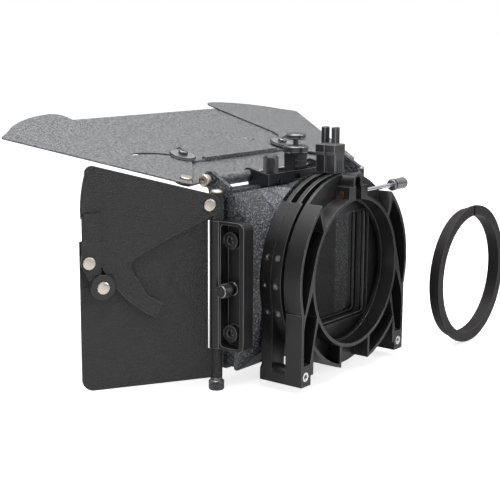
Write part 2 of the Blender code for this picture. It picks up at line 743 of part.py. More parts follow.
def build_tray(which, middle):
    """Filter tray and its handle."""
    half_tray = TRAY_THICK / 2
    edge = on_circle(TRAY_TOP_R, x=TRAY_HALF)
    tab_z = on_circle(TRAY_TOP_R, x=TAB_HALF)
    corner = angle_of(TRAY_HALF, edge)
    tab_angle = angle_of(TAB_HALF, tab_z)
    tab_top = TRAY_TOP_R + TAB_HEIGHT
    outline = arc(-TRAY_HALF + 4 * MM, TRAY_BOTTOM + 4 * MM, 4 * MM, 180, 270, 4)
    outline += arc(TRAY_HALF - 4 * MM, TRAY_BOTTOM + 4 * MM, 4 * MM, 270, 360, 4)
    outline += arc(0, 0, TRAY_TOP_R, corner, tab_angle, 8)
    outline += [(TAB_HALF, tab_top), (-TAB_HALF, tab_top)]
    outline += arc(0, 0, TRAY_TOP_R, 180 - tab_angle, 180 - corner, 8)
    tray = solid(f"{which}_filter_tray", MOULDED,
                 prism(outline, FRONT, middle - half_tray, middle + half_tray))
    window = rounded_box(-TRAY_WINDOW, TRAY_WINDOW, -TRAY_WINDOW, TRAY_WINDOW, 5 * MM)
    seat = rounded_box(-FILTER_HALF, FILTER_HALF, -FILTER_HALF, FILTER_HALF, 2 * MM, 3)
    cut(tray, prism(window, FRONT, middle - 2 * half_tray, middle + 2 * half_tray),
        prism(seat, FRONT, middle + half_tray - FILTER_SEAT, middle + 2 * half_tray))
    foot = TRAY_TOP_R + GAP
    shoulder = foot + HANDLE_HEIGHT
    head_top = shoulder + HEAD_HEIGHT
    front, rear = middle + HANDLE_DEPTH / 2, middle - HANDLE_DEPTH / 2
    handle = solid(f"{which}_tray_handle", DARK_METAL,
                   prism(box_outline(-HANDLE_HALF, HANDLE_HALF, foot, shoulder + MM), FRONT,
                         rear, front))
    chamfer = 1.6 * MM
    head = [(-HEAD_HALF + chamfer, shoulder), (HEAD_HALF - chamfer, shoulder),
            (HEAD_HALF, shoulder + chamfer), (HEAD_HALF, head_top), (-HEAD_HALF, head_top),
            (-HEAD_HALF, shoulder + chamfer)]
    half_prong = PRONG_THICK / 2
    fuse(handle, prism(head, FRONT, rear, front),
         prism(box_outline(-PRONG_HALF, PRONG_HALF, head_top - MM, head_top + PRONG_HEIGHT),
               FRONT, middle - half_prong, middle + half_prong))
    cut(handle, prism(box_outline(-TAB_HALF - GAP, TAB_HALF + GAP, foot - MM,
                                  TRAY_TOP_R + TAB_HEIGHT + GAP), FRONT,
                      middle - half_tray - GAP, middle + half_tray + GAP))


def build_stages():
    """Rotating rear stage, fixed front stage and their trays."""
    rear_end = STAGE_START + STAGE_DEPTH
    stage_body("rear_stage", STAGE_START, rear_end, False)
    stage_body("front_stage", FRONT_START, FRONT_END, True)
    for which, start in (("rear", STAGE_START), ("front", FRONT_START)):
        build_tray(which, start + STAGE_DEPTH / 2)


def rounded_reach(half_x, half_z, radius, degrees):
    """Distance from the middle to a rounded rectangle, at a polar angle."""
    c, s = abs(math.cos(math.radians(degrees))), abs(math.sin(math.radians(degrees)))
    reach = min(half_x / max(c, WELD), half_z / max(s, WELD))
    centre_x, centre_z = half_x - radius, half_z - radius
    if reach * c > centre_x and reach * s > centre_z:
        along = c * centre_x + s * centre_z
        across = centre_x ** 2 + centre_z ** 2 - radius ** 2
        reach = along + math.sqrt(along ** 2 - across)
    return reach


def hood_pairs():
    """Polar angles round the hood: on the frame, and where they meet the round end."""
    first = angle_of(HOOD_X, HOOD_HALF_Z - HOOD_CORNER)
    last = angle_of(HOOD_X - HOOD_CORNER, HOOD_HALF_Z)
    stretches = ((0.0, first, 0.0, FACET_SIDE, HOOD_SIDE_STEPS),
                 (first, last, FACET_SIDE, FACET_TOP, HOOD_CORNER_STEPS),
                 (last, 90.0, FACET_TOP, 90.0, HOOD_SIDE_STEPS))
    quarter = []
    for low, high, round_low, round_high, steps in stretches:
        for i in range(steps):
            share = i / steps
            quarter.append((low + (high - low) * share,
                            round_low + (round_high - round_low) * share))
    quarter.append((90.0, 90.0))
    half = quarter + [(180 - on_frame, 180 - on_round)
                      for on_frame, on_round in reversed(quarter[1:-1])]
    return half + [(180 + on_frame, 180 + on_round) for on_frame, on_round in half]


def hood_ring(kind, inset, depth):
    """One cross-section of the hood, as points that pair off with every other section's."""
    points = []
    radius = max(HOOD_CORNER - inset, 2.0 * MM)
    for on_frame, on_round in hood_pairs():
        if kind == "frame":
            reach = rounded_reach(HOOD_X - inset, HOOD_HALF_Z - inset, radius, on_frame)
            x, z = polar(reach, on_frame)
            z -= HOOD_DROP
        else:
            x, z = polar(RIM_R - inset, on_round)
        points.append(Vector((x, -depth, z)))
    return points


def loft(bm, rows):
    """Skin a solid over its cross-sections, with flat ends."""
    rings = [[bm.verts.new(point) for point in row] for row in rows]
    count = len(rings[0])
    for ring, following in zip(rings, rings[1:]):
        for i in range(count):
            j = (i + 1) % count
            bm.faces.new((ring[i], ring[j], following[j], following[i]))
    bmesh.ops.triangulate(bm, faces=bm.faces)
    bm.faces.new(list(reversed(rings[0])))
    bm.faces.new(rings[-1])


def draw_outside(bm):
    """The hood's outer form: round behind, flaring to a grooved rectangular frame."""
    loft(bm, [hood_ring("round", 0.0, HOOD_START),
              hood_ring("frame", 0.0, HOOD_FLARE_END),
              hood_ring("frame", 0.0, HOOD_GROOVE_START),
              hood_ring("frame", HOOD_GROOVE, HOOD_GROOVE_START + GAP),
              hood_ring("frame", HOOD_GROOVE, HOOD_GROOVE_END),
              hood_ring("frame", 0.0, HOOD_GROOVE_END + GAP),
              hood_ring("frame", 0.0, HOOD_FRONT)])


def draw_inside(bm):
    """The room inside the hood, cut right through from its mouth to the stages."""
    loft(bm, [hood_ring("round", 2 * HOOD_WALL, HOOD_START - MM),
              hood_ring("round", 2 * HOOD_WALL, HOOD_START),
              hood_ring("frame", HOOD_INNER, HOOD_FLARE_END + HOOD_WALL / 2),
              hood_ring("frame", HOOD_INNER, HOOD_FRONT + MM)])


def build_hood():
    """Hood shell with the outer ears of the top hinge and the pads of the side brackets."""
    hood = solid("hood_shell", PEBBLED, draw_outside)
    foot = HOOD_TOP - HOOD_GROOVE - HOOD_WALL / 2
    rear = TOP_HINGE_DEPTH - EAR_BACK
    outline = [(rear, foot), (HOOD_FRONT - MM, foot)]
    outline += arc(TOP_HINGE_DEPTH, TOP_HINGE_Z, EAR_R, -78, 120, 14)
    outline += [(rear, HOOD_TOP + EAR_HEEL)]

    def draw_fittings(bm):
        for sign in (1, -1):
            add_prism(bm, outline, along_x(EAR_X, sign=sign), 0, EAR_THICK)
            for depth, z in [(BOSS_DEPTH, z) for z in BOSS_HEIGHTS.values()] + [(STUD_DEPTH, STUD_Z)]:
                add_rod(bm, along_x(0, depth, z, sign), BOSS_R, HOOD_X - PAD_DEEP,
                        HOOD_X + PAD_PROUD, MIDDLE)

    def draw_bores(bm):
        add_rod(bm, along_x(0, TOP_HINGE_DEPTH, TOP_HINGE_Z), ROD_R + GAP, -EAR_OUTER_X - MM,
                EAR_OUTER_X + MM)
        for sign in (1, -1):
            for z in BOSS_HEIGHTS.values():
                add_rod(bm, along_x(0, BOSS_DEPTH, z, sign), BRACKET_SCREW_R + GAP,
                        HOOD_X - PAD_DEEP - MM, HOOD_X + MM)

    fuse(hood, draw_fittings)
    cut(hood, draw_inside, draw_bores)
    return hood


def build_top_hinge():
    """Hinge rod, caps, centre bracket and what stands on it."""
    axis = along_x(0, TOP_HINGE_DEPTH, TOP_HINGE_Z)
    solid("top_hinge_rod", STEEL, rod(axis, ROD_R, -EAR_OUTER_X, EAR_OUTER_X))
    cap_start = EAR_OUTER_X + GAP
    cap_end = cap_start + CAP_LENGTH
    chamfer = 0.8 * MM
    socket_r, socket_deep = 2.2 * MM, 1.6 * MM
    head_start = cap_start + CAP_NECK
    cap = [(0.0, cap_start), (CAP_NECK_R, cap_start), (CAP_NECK_R, head_start),
           (CAP_R, head_start), (CAP_R, cap_end - chamfer),
           (CAP_R - chamfer, cap_end), (socket_r, cap_end), (socket_r, cap_end - socket_deep),
           (0.0, cap_end - socket_deep)]
    for side, sign in SIDES:
        solid(f"{side}_hinge_cap", NICKEL,
              turned(cap, along_x(0, TOP_HINGE_DEPTH, TOP_HINGE_Z, sign), MIDDLE))

    foot = HOOD_TOP + GAP
    wall_end = CENTRE_WALL_DEPTH + CENTRE_SHEET
    bracket = solid("top_hinge_bracket", DARK_METAL,
                    prism(box_outline(-CENTRE_HALF, CENTRE_HALF, foot, CENTRE_WALL_TOP), FRONT,
                          CENTRE_WALL_DEPTH, wall_end))
    fuse(bracket, prism(box_outline(-CENTRE_HALF, CENTRE_HALF, foot, foot + CENTRE_FLOOR), FRONT,
                        wall_end - MM, CENTRE_FLOOR_END))
    ear = [(wall_end - MM, foot), (HOOD_FRONT - MM, foot)]
    ear += arc(TOP_HINGE_DEPTH, TOP_HINGE_Z, CENTRE_EAR_R, -85, 100, 14)
    ear += [(wall_end - MM, CENTRE_WALL_TOP)]
    for sign in (1, -1):
        fuse(bracket, prism(ear, along_x(CENTRE_HALF - CENTRE_SHEET, sign=sign), 0,
                            CENTRE_SHEET))
    cut(bracket, rod(axis, ROD_R + GAP, -CENTRE_HALF - MM, CENTRE_HALF + MM),
        rod(upright(KNOB_X, KNOB_DEPTH, 0), STUD_R + GAP, foot - MM, foot + 2 * MM))
    for notch_x, height in NOTCHES:
        notch = box_outline(notch_x - NOTCH_WIDTH / 2, notch_x + NOTCH_WIDTH / 2,
                            foot + height, foot + height + NOTCH_HEIGHT)
        cut(bracket, prism(notch, FRONT, CENTRE_WALL_DEPTH - MM, wall_end + MM / 2))

    plate_z = foot + CENTRE_FLOOR + GAP
    rear, front = KNOB_DEPTH - PLATE_REAR, KNOB_DEPTH + PLATE_AHEAD
    plate = [(KNOB_X - PLATE_INWARD, rear), (KNOB_X + PLATE_OUTWARD, rear),
             (KNOB_X + PLATE_POINT, KNOB_DEPTH), (KNOB_X + PLATE_OUTWARD, front),
             (KNOB_X - PLATE_INWARD, front)]
    solid("tilt_clamp_plate", POWDER, prism(plate, upright(0, 0, plate_z), 0, PLATE_THICK))
    knob_z = plate_z + PLATE_THICK + GAP
    stud = upright(KNOB_X, KNOB_DEPTH, 0)
    cut(bpy.data.objects["tilt_clamp_plate"], rod(stud, STUD_R + GAP, plate_z - MM, knob_z))

    def draw_knob(bm):
        top = knob_z + KNOB_HEIGHT
        outline = []
        for i in range(2 * KNOB_FLUTES):
            radius = KNOB_R - (i % 2) * KNOB_FLUTE_DEEP
            outline.append(polar(radius, 360 * i / (2 * KNOB_FLUTES)))
        add_prism(bm, outline, stud, knob_z, top - MM)

    knob = solid("tilt_lock_knob", DARK_METAL, draw_knob, (KNOB_X, -KNOB_DEPTH, knob_z))
    crown = knob_z + KNOB_HEIGHT
    inset = KNOB_R - 2 * KNOB_FLUTE_DEEP
    local = Matrix.Translation((0, 0, -knob_z)) @ upright(0, 0, 0)
    fuse_at(knob, turned([(0.0, crown - 2 * MM), (inset, crown - 2 * MM), (inset, crown - 0.6 * MM),
                          (inset - 0.6 * MM, crown), (0.0, crown)], local),
            rod(local, STUD_R, foot + 0.2 * MM, knob_z + MM))

    tower_top = plate_z + TOWER_HEIGHT
    tower_frame = upright(TOWER_X, KNOB_DEPTH, 0)
    tower = solid("button_tower", MOULDED,
                  prism(rounded_box(-TOWER_HALF, TOWER_HALF, -TOWER_DEEP / 2, TOWER_DEEP / 2,
                                    2 * MM, 3), tower_frame, plate_z, tower_top))
    groove = 1.2 * MM
    for level in (6.0 * MM, 11.0 * MM, 16.0 * MM):
        cut(tower, prism(box_outline(-TOWER_HALF - MM, TOWER_HALF + MM,
                                     -TOWER_DEEP / 2 - MM, -TOWER_DEEP / 2 + groove),
                         tower_frame, plate_z + level, plate_z + level + groove))
    bore_floor = tower_top - 12.0 * MM
    cut(tower, rod(tower_frame, BUTTON_STEM_R + GAP, bore_floor, tower_top + MM))
    seat = tower_top + GAP
    lower_top, neck_top, button_top = seat + 7.3 * MM, seat + 12.8 * MM, seat + 18.2 * MM
    edge = 1.2 * MM
    button = [(0.0, seat - 7 * MM), (BUTTON_STEM_R, seat - 7 * MM), (BUTTON_STEM_R, seat),
              (BUTTON_LOWER_R - edge, seat), (BUTTON_LOWER_R, seat + edge),
              (BUTTON_LOWER_R, lower_top - edge), (BUTTON_LOWER_R - edge, lower_top),
              (BUTTON_NECK_R, lower_top), (BUTTON_NECK_R, neck_top),
              (BUTTON_UPPER_R - edge, neck_top), (BUTTON_UPPER_R, neck_top + edge),
              (BUTTON_UPPER_R, button_top - edge), (BUTTON_UPPER_R - edge, button_top),
              (0.0, button_top)]
    solid("release_button", DARK_METAL, turned(button, tower_frame, MIDDLE),
          (TOWER_X, -KNOB_DEPTH, seat))


def fuse_at(obj, *drawings):
    """Add shapes that are drawn in the object's own coordinates."""
    place = obj.location.copy()
    obj.location = (0, 0, 0)
    bpy.context.view_layer.update()
    fuse(obj, *drawings)
    obj.location = place
    return obj


def cut_at(obj, *drawings):
    """Take away shapes that are drawn in world coordinates from an object with a moved origin."""
    place = obj.location.copy()
    obj.data.transform(Matrix.Translation(place))
    obj.location = (0, 0, 0)
    bpy.context.view_layer.update()
    cut(obj, *drawings)
    obj.data.transform(Matrix.Translation(-place))
    obj.location = place
    return obj


def base_outline():
    """Hinge plate of the top flag, both sides."""
    ear_clear = CENTRE_HALF + GAP
    barrel_end = EAR_X - GAP
    right = [(ear_clear, BARREL_R + BASE_AHEAD), (ear_clear, BASE_REAR), (barrel_end, BASE_REAR),
             (barrel_end, EAR_R + GAP)]
    right += arc(WING_PIVOT_X, WING_PIVOT_S, BASE_ROUND_R, -70, 20, 6)
    right += arc(*WASHER_PLACE, BASE_ROUND_R, 20, 90, 5)
    return right + [(-x, s) for x, s in reversed(right)]


def wing_outline():
    """Folding wing, operator's left: round pivot end, arm round the slot, curved front edge."""
    clear_of_cap = WING_PIVOT_S - CAP_R
    outline = arc(WING_PIVOT_X, WING_PIVOT_S, clear_of_cap, 205, 270, 4)
    outline += arc(WING_PIVOT_X, WING_PIVOT_S, WING_PIVOT_END_R, 290, 328, 3)
    outline += arc(WING_TIP_X, WING_TIP_S, WING_TIP_R, -32, 40, 4)
    front = PANEL_FRONT + WING_AHEAD
    tip = Vector((WING_TIP_X, WING_TIP_S))
    chord = Vector((WING_INNER_X + WING_CORNER_R, front)) - tip
    outward = Vector((chord.y, -chord.x)).normalized()
    for share in (0.15, 0.33, 0.51, 0.70, 0.87):
        bulge = WING_BULGE * math.sin(math.pi * share) ** 0.8
        outline.append(tuple(tip + chord * share + outward * bulge))
    outline += arc(WING_INNER_X + WING_CORNER_R, front - WING_CORNER_R, WING_CORNER_R, 85, 180, 6)
    neck = WASHER_PLACE[1] + WING_NECK
    outline += [(WING_INNER_X, neck + 15 * MM), (WING_INNER_X - 3 * MM, neck + 6 * MM),
                (WING_INNER_X - 9 * MM, neck)]
    outline += arc(*WASHER_PLACE, BASE_ROUND_R, 110, 225, 7)
    return outline


def slot_outline(radius, half_width, start, end, cx, cy):
    """Curved slot with round ends."""
    outline = arc(cx, cy, radius + half_width, start, end, 12)
    outline += arc(*polar(radius, end, cx, cy), half_width, end, end + 180, 6)[1:-1]
    outline += arc(cx, cy, radius - half_width, end, start, 12)
    outline += arc(*polar(radius, start, cx, cy), half_width, start + 180, start + 360, 6)[1:-1]
    return outline


def build_top_flag():
    """Hinge plate with barrels, panel, wings and their fasteners."""
    flag = top_flag()
    hinge_point = (0, -TOP_HINGE_DEPTH, TOP_HINGE_Z)
    base_top = BASE_UNDER + BASE_THICK
    base = solid("top_flag_hinge_plate", POWDER,
                 prism(base_outline(), flag, BASE_UNDER, base_top))
    barrel_start, barrel_end = CENTRE_HALF + GAP, EAR_X - GAP
    half = BARREL_R - 0.1 * MM
    for sign in (1, -1):
        # The barrel's axis is the frame's first axis, so it is drawn in a plane square to X.
        barrel_frame = along_x(0, TOP_HINGE_DEPTH, TOP_HINGE_Z, sign)
        web = [(-BARREL_R * 0.8, 0), (-BARREL_R * 0.8, base_top - 0.7 * MM),
               (BARREL_R * 0.8, base_top - 0.7 * MM), (BARREL_R * 0.8, 0)]
        turn = Matrix.Rotation(TOP_TILT, 4, "Z")
        fuse(base, prism(web, barrel_frame @ turn, barrel_start, barrel_end),
             rod(barrel_frame, half, barrel_start, barrel_end, MIDDLE))
        cut(base, rod(barrel_frame, ROD_R + GAP, barrel_start - MM, barrel_end + MM))
        for x, s, radius in ((WING_PIVOT_X, WING_PIVOT_S, PIVOT_R),
                             (*WASHER_PLACE, WING_SCREW_R)):
            cut(base, rod(top_flag(sign=sign) @ Matrix.Translation((x, s, 0)), radius + GAP,
                          BASE_UNDER - MM, base_top + MM))
    base.data.transform(Matrix.Translation(-Vector(hinge_point)))
    base.location = hinge_point

    inner_s = WASHER_PLACE[1] - BASE_ROUND_R
    right = [(BAR_HALF, PANEL_REAR), (WASHER_PLACE[0] + 6.0 * MM, inner_s),
             (PANEL_HALF, inner_s + PANEL_SHOULDER),
             (PANEL_HALF, PANEL_FRONT - 2 * MM), (PANEL_HALF - 2 * MM, PANEL_FRONT)]
    outline = right + [(-x, s) for x, s in reversed(right)]
    panel = solid("top_flag_panel", POWDER,
                  prism(outline, flag, PANEL_UNDER, PANEL_UNDER + PANEL_THICK))
    fuse(panel, prism(box_outline(-BAR_HALF, BAR_HALF, PANEL_REAR, PANEL_REAR + BAR_WIDTH), flag,
                      PANEL_UNDER, PANEL_UNDER + BAR_RISE + PANEL_THICK))
    for sign in (1, -1):
        cut(panel, rod(top_flag(sign=sign) @ Matrix.Translation((*WASHER_PLACE, 0)),
                       WING_SCREW_R + GAP, PANEL_UNDER - MM, WING_UNDER))

    pivot_top = WASHER_UNDER + PIVOT_HEAD
    pivot = [(0.0, BASE_UNDER), (PIVOT_R, BASE_UNDER), (PIVOT_R, PANEL_UNDER),
             (PIVOT_COLLAR_R, PANEL_UNDER), (PIVOT_COLLAR_R, WING_UNDER - GAP),
             (PIVOT_R, WING_UNDER - GAP), (PIVOT_R, WASHER_UNDER), (PIVOT_HEAD_R, WASHER_UNDER),
             (PIVOT_HEAD_R, pivot_top - 0.4 * MM), (PIVOT_HEAD_R - 0.6 * MM, pivot_top),
             (0.0, pivot_top)]
    screw_top = WASHER_UNDER + WASHER_THICK + GAP + WING_SCREW_HEAD
    head_under = screw_top - WING_SCREW_HEAD
    for side, sign in SIDES:
        frame = top_flag(sign=sign)
        at_washer = frame @ Matrix.Translation((*WASHER_PLACE, 0))
        at_pivot = frame @ Matrix.Translation((WING_PIVOT_X, WING_PIVOT_S, 0))
        solid(f"{side}_wing_pivot", NICKEL, turned(pivot, at_pivot))
        origin = at_pivot @ Vector((0, 0, WING_UNDER))
        wing = solid(f"{side}_wing", POWDER,
                     prism(wing_outline(), frame, WING_UNDER, WING_UNDER + WING_THICK), origin)
        slot = slot_outline(WING_SLOT_R, WING_SCREW_R + GAP, WING_SLOT_START, WING_SLOT_END,
                            WING_PIVOT_X, WING_PIVOT_S)
        cut_at(wing, prism(slot, frame, WING_UNDER - MM, WASHER_UNDER),
               rod(at_pivot, PIVOT_R + GAP, WING_UNDER - MM, WASHER_UNDER))
        edge = 0.5 * MM
        washer_top = WASHER_UNDER + WASHER_THICK
        washer = [(WING_SCREW_R + GAP, WASHER_UNDER), (WASHER_R, WASHER_UNDER),
                  (WASHER_R, washer_top - edge), (WASHER_R - edge, washer_top),
                  (WING_SCREW_R + GAP, washer_top)]
        solid(f"{side}_wing_washer", DARK_METAL, turned(washer, at_washer, MIDDLE))

        def draw_screw(bm, at=at_washer):
            add_turned(bm, [(0.0, BASE_UNDER), (WING_SCREW_R, BASE_UNDER),
                            (WING_SCREW_R, head_under), (WING_SCREW_HEAD_R, head_under),
                            (WING_SCREW_HEAD_R, screw_top - 0.5 * MM),
                            (WING_SCREW_HEAD_R - 0.5 * MM, screw_top), (2.0 * MM, screw_top),
                            (2.0 * MM, screw_top - 1.8 * MM), (0.0, screw_top - 1.8 * MM)], at)

        solid(f"{side}_wing_screw", DARK_METAL, draw_screw)


def build_side_bracket(side, sign):
    """Open tray on the hood's side, with its screws and the accessory stud."""
    plane = along_x(0, 0, 0, sign)
    corner = BRACKET_REAR + BRACKET_CORNER
    rim = [(HINGE_DEPTH, BRACKET_BOTTOM), (HINGE_DEPTH, BRACKET_TOP)]
    rim += arc(corner, BRACKET_TOP - BRACKET_CORNER, BRACKET_CORNER, 90, 180, 5)
    rim += arc(corner, BRACKET_BOTTOM + BRACKET_CORNER, BRACKET_CORNER, 180, 270, 5)
    bracket = solid(f"{side}_side_bracket", MOULDED,
                    prism(rim, plane, BRACKET_BACK_X, BRACKET_RIM_X))
    hollow_front = HINGE_DEPTH - BARREL_WALL_R - BRACKET_FRONT_WALL
    hollow = rounded_box(BRACKET_REAR + BRACKET_REAR_WALL, hollow_front,
                         BRACKET_BOTTOM + BRACKET_WALL, BRACKET_TOP - BRACKET_WALL, 3.5 * MM)
    cut(bracket, prism(hollow, plane, BACK_PLATE_X, BRACKET_RIM_X + MM))
    stud_frame = along_x(0, STUD_DEPTH, STUD_Z, sign)
    hinge = upright(sign * HINGE_X, HINGE_DEPTH, 0)
    fuse(bracket, rod(hinge, BARREL_WALL_R, BRACKET_BOTTOM, BRACKET_TOP, MIDDLE))
    for z in BOSS_HEIGHTS.values():
        fuse(bracket, rod(along_x(0, BOSS_DEPTH, z, sign), BOSS_R, BACK_PLATE_X - MM,
                          BOSS_FACE_X, MIDDLE))
    cut(bracket, rod(hinge, PIN_R + GAP, BRACKET_BOTTOM - MM, BRACKET_TOP + MM),
        rod(stud_frame, ACCESSORY_FLANGE_R + GAP, BACK_PLATE_X, ACCESSORY_END_X, MIDDLE))
    counterbore = BACK_PLATE_X - BRACKET_SCREW_SUNK
    for z in BOSS_HEIGHTS.values():
        at = along_x(0, BOSS_DEPTH, z, sign)
        cut(bracket, rod(at, BRACKET_SCREW_R + GAP, BRACKET_BACK_X - MM, BOSS_FACE_X + MM),
            rod(at, BRACKET_SCREW_HEAD_R + GAP, counterbore, BOSS_FACE_X + MM))

    seat = counterbore + GAP
    top = seat + BRACKET_SCREW_HEAD
    tip = GROOVE_X - HOOD_WALL
    screw = [(0.0, tip), (BRACKET_SCREW_R, tip), (BRACKET_SCREW_R, seat),
             (BRACKET_SCREW_HEAD_R, seat), (BRACKET_SCREW_HEAD_R, top), (0.0, top)]
    for end, z in BOSS_HEIGHTS.items():
        solid(f"{side}_{end}_bracket_screw", DARK_METAL,
              turned(screw, along_x(0, BOSS_DEPTH, z, sign)))
    flange = BACK_PLATE_X + GAP
    flange_end = flange + ACCESSORY_FLANGE
    stud = [(0.0, flange), (ACCESSORY_FLANGE_R, flange), (ACCESSORY_FLANGE_R, flange_end),
            (ACCESSORY_R, flange_end), (ACCESSORY_R, ACCESSORY_END_X - 0.6 * MM),
            (ACCESSORY_R - 0.6 * MM, ACCESSORY_END_X), (0.0, ACCESSORY_END_X)]
    solid(f"{side}_accessory_stud", GRIP_GREY, turned(stud, stud_frame))


def arm_outline():
    """Swinging extension plate: round pivot end, long top edge, tip arc and curved tail."""
    pivot = (ARM_PIVOT_U, ARM_PIVOT_Z)
    tail_inner = ARM_TAIL_R - ARM_TAIL_WIDTH
    outline = arc(*pivot, ARM_END_R, 106, 242, 8)
    outline += [(32.2 * MM, 46.5 * MM), (66.0 * MM, 30.6 * MM)]
    outline += arc(68.0 * MM, 19.5 * MM, 8.8 * MM, 65, -35, 7)
    outline += arc(*pivot, tail_inner, -52.5, -62.5, 4)
    outline += arc(*pivot, ARM_TAIL_R, -62.5, -3.0, 12)
    outline += arc(*pivot, ARM_TIP_R, -3.0, 15.5, 5)
    corner = polar(ARM_TIP_R - 5.5 * MM, 17.0, *pivot)
    outline += arc(*corner, 6.2 * MM, 20, 106, 5)
    return outline


def guide_outline(pivots):
    """Strip that holds the extension plate down: a wide finger over two riveted bosses."""
    (u2, z2), (u3, z3) = pivots
    right = u2 + 5.4 * MM
    outline = [(right - GUIDE_FINGER, GUIDE_FINGER_TOP), (right - GUIDE_FINGER, z2 + 6.0 * MM),
               (u3 + 1.0 * MM, z3 + 10.0 * MM)]
    outline += arc(u3, z3, GUIDE_BOSS_R + 1.2 * MM, 150, 330, 8)
    outline += arc(u2, z2, GUIDE_BOSS_R, -28, 12, 4)
    outline += [(right, z2 + 9.0 * MM), (right, GUIDE_FINGER_TOP - 3.0 * MM),
                (right - 3.0 * MM, GUIDE_FINGER_TOP)]
    return outline


def rivet(frame, u, z, shoulder, seat):
    """Drawing function for a rivet through the flag, with its head on the seat level."""
    at = frame @ Matrix.Translation((u, z, 0))
    under = -FLAG_THICK / 2 - GAP
    tail = under - 0.8 * MM
    top = seat + RIVET_HEAD
    profile = [(0.0, tail), (RIVET_TAIL_R, tail), (RIVET_TAIL_R, under), (RIVET_R, under),
               (RIVET_R, seat), (RIVET_HEAD_R, seat), (RIVET_HEAD_R, top - 0.5 * MM),
               (RIVET_HEAD_R - 0.8 * MM, top), (0.0, top)]
    if shoulder:
        low = FLAG_THICK / 2 + GAP
        profile[4:4] = [(RIVET_R, low), (shoulder, low), (shoulder, ARM_LEVEL - GAP),
                        (RIVET_R, ARM_LEVEL - GAP)]
    return turned(profile, at)


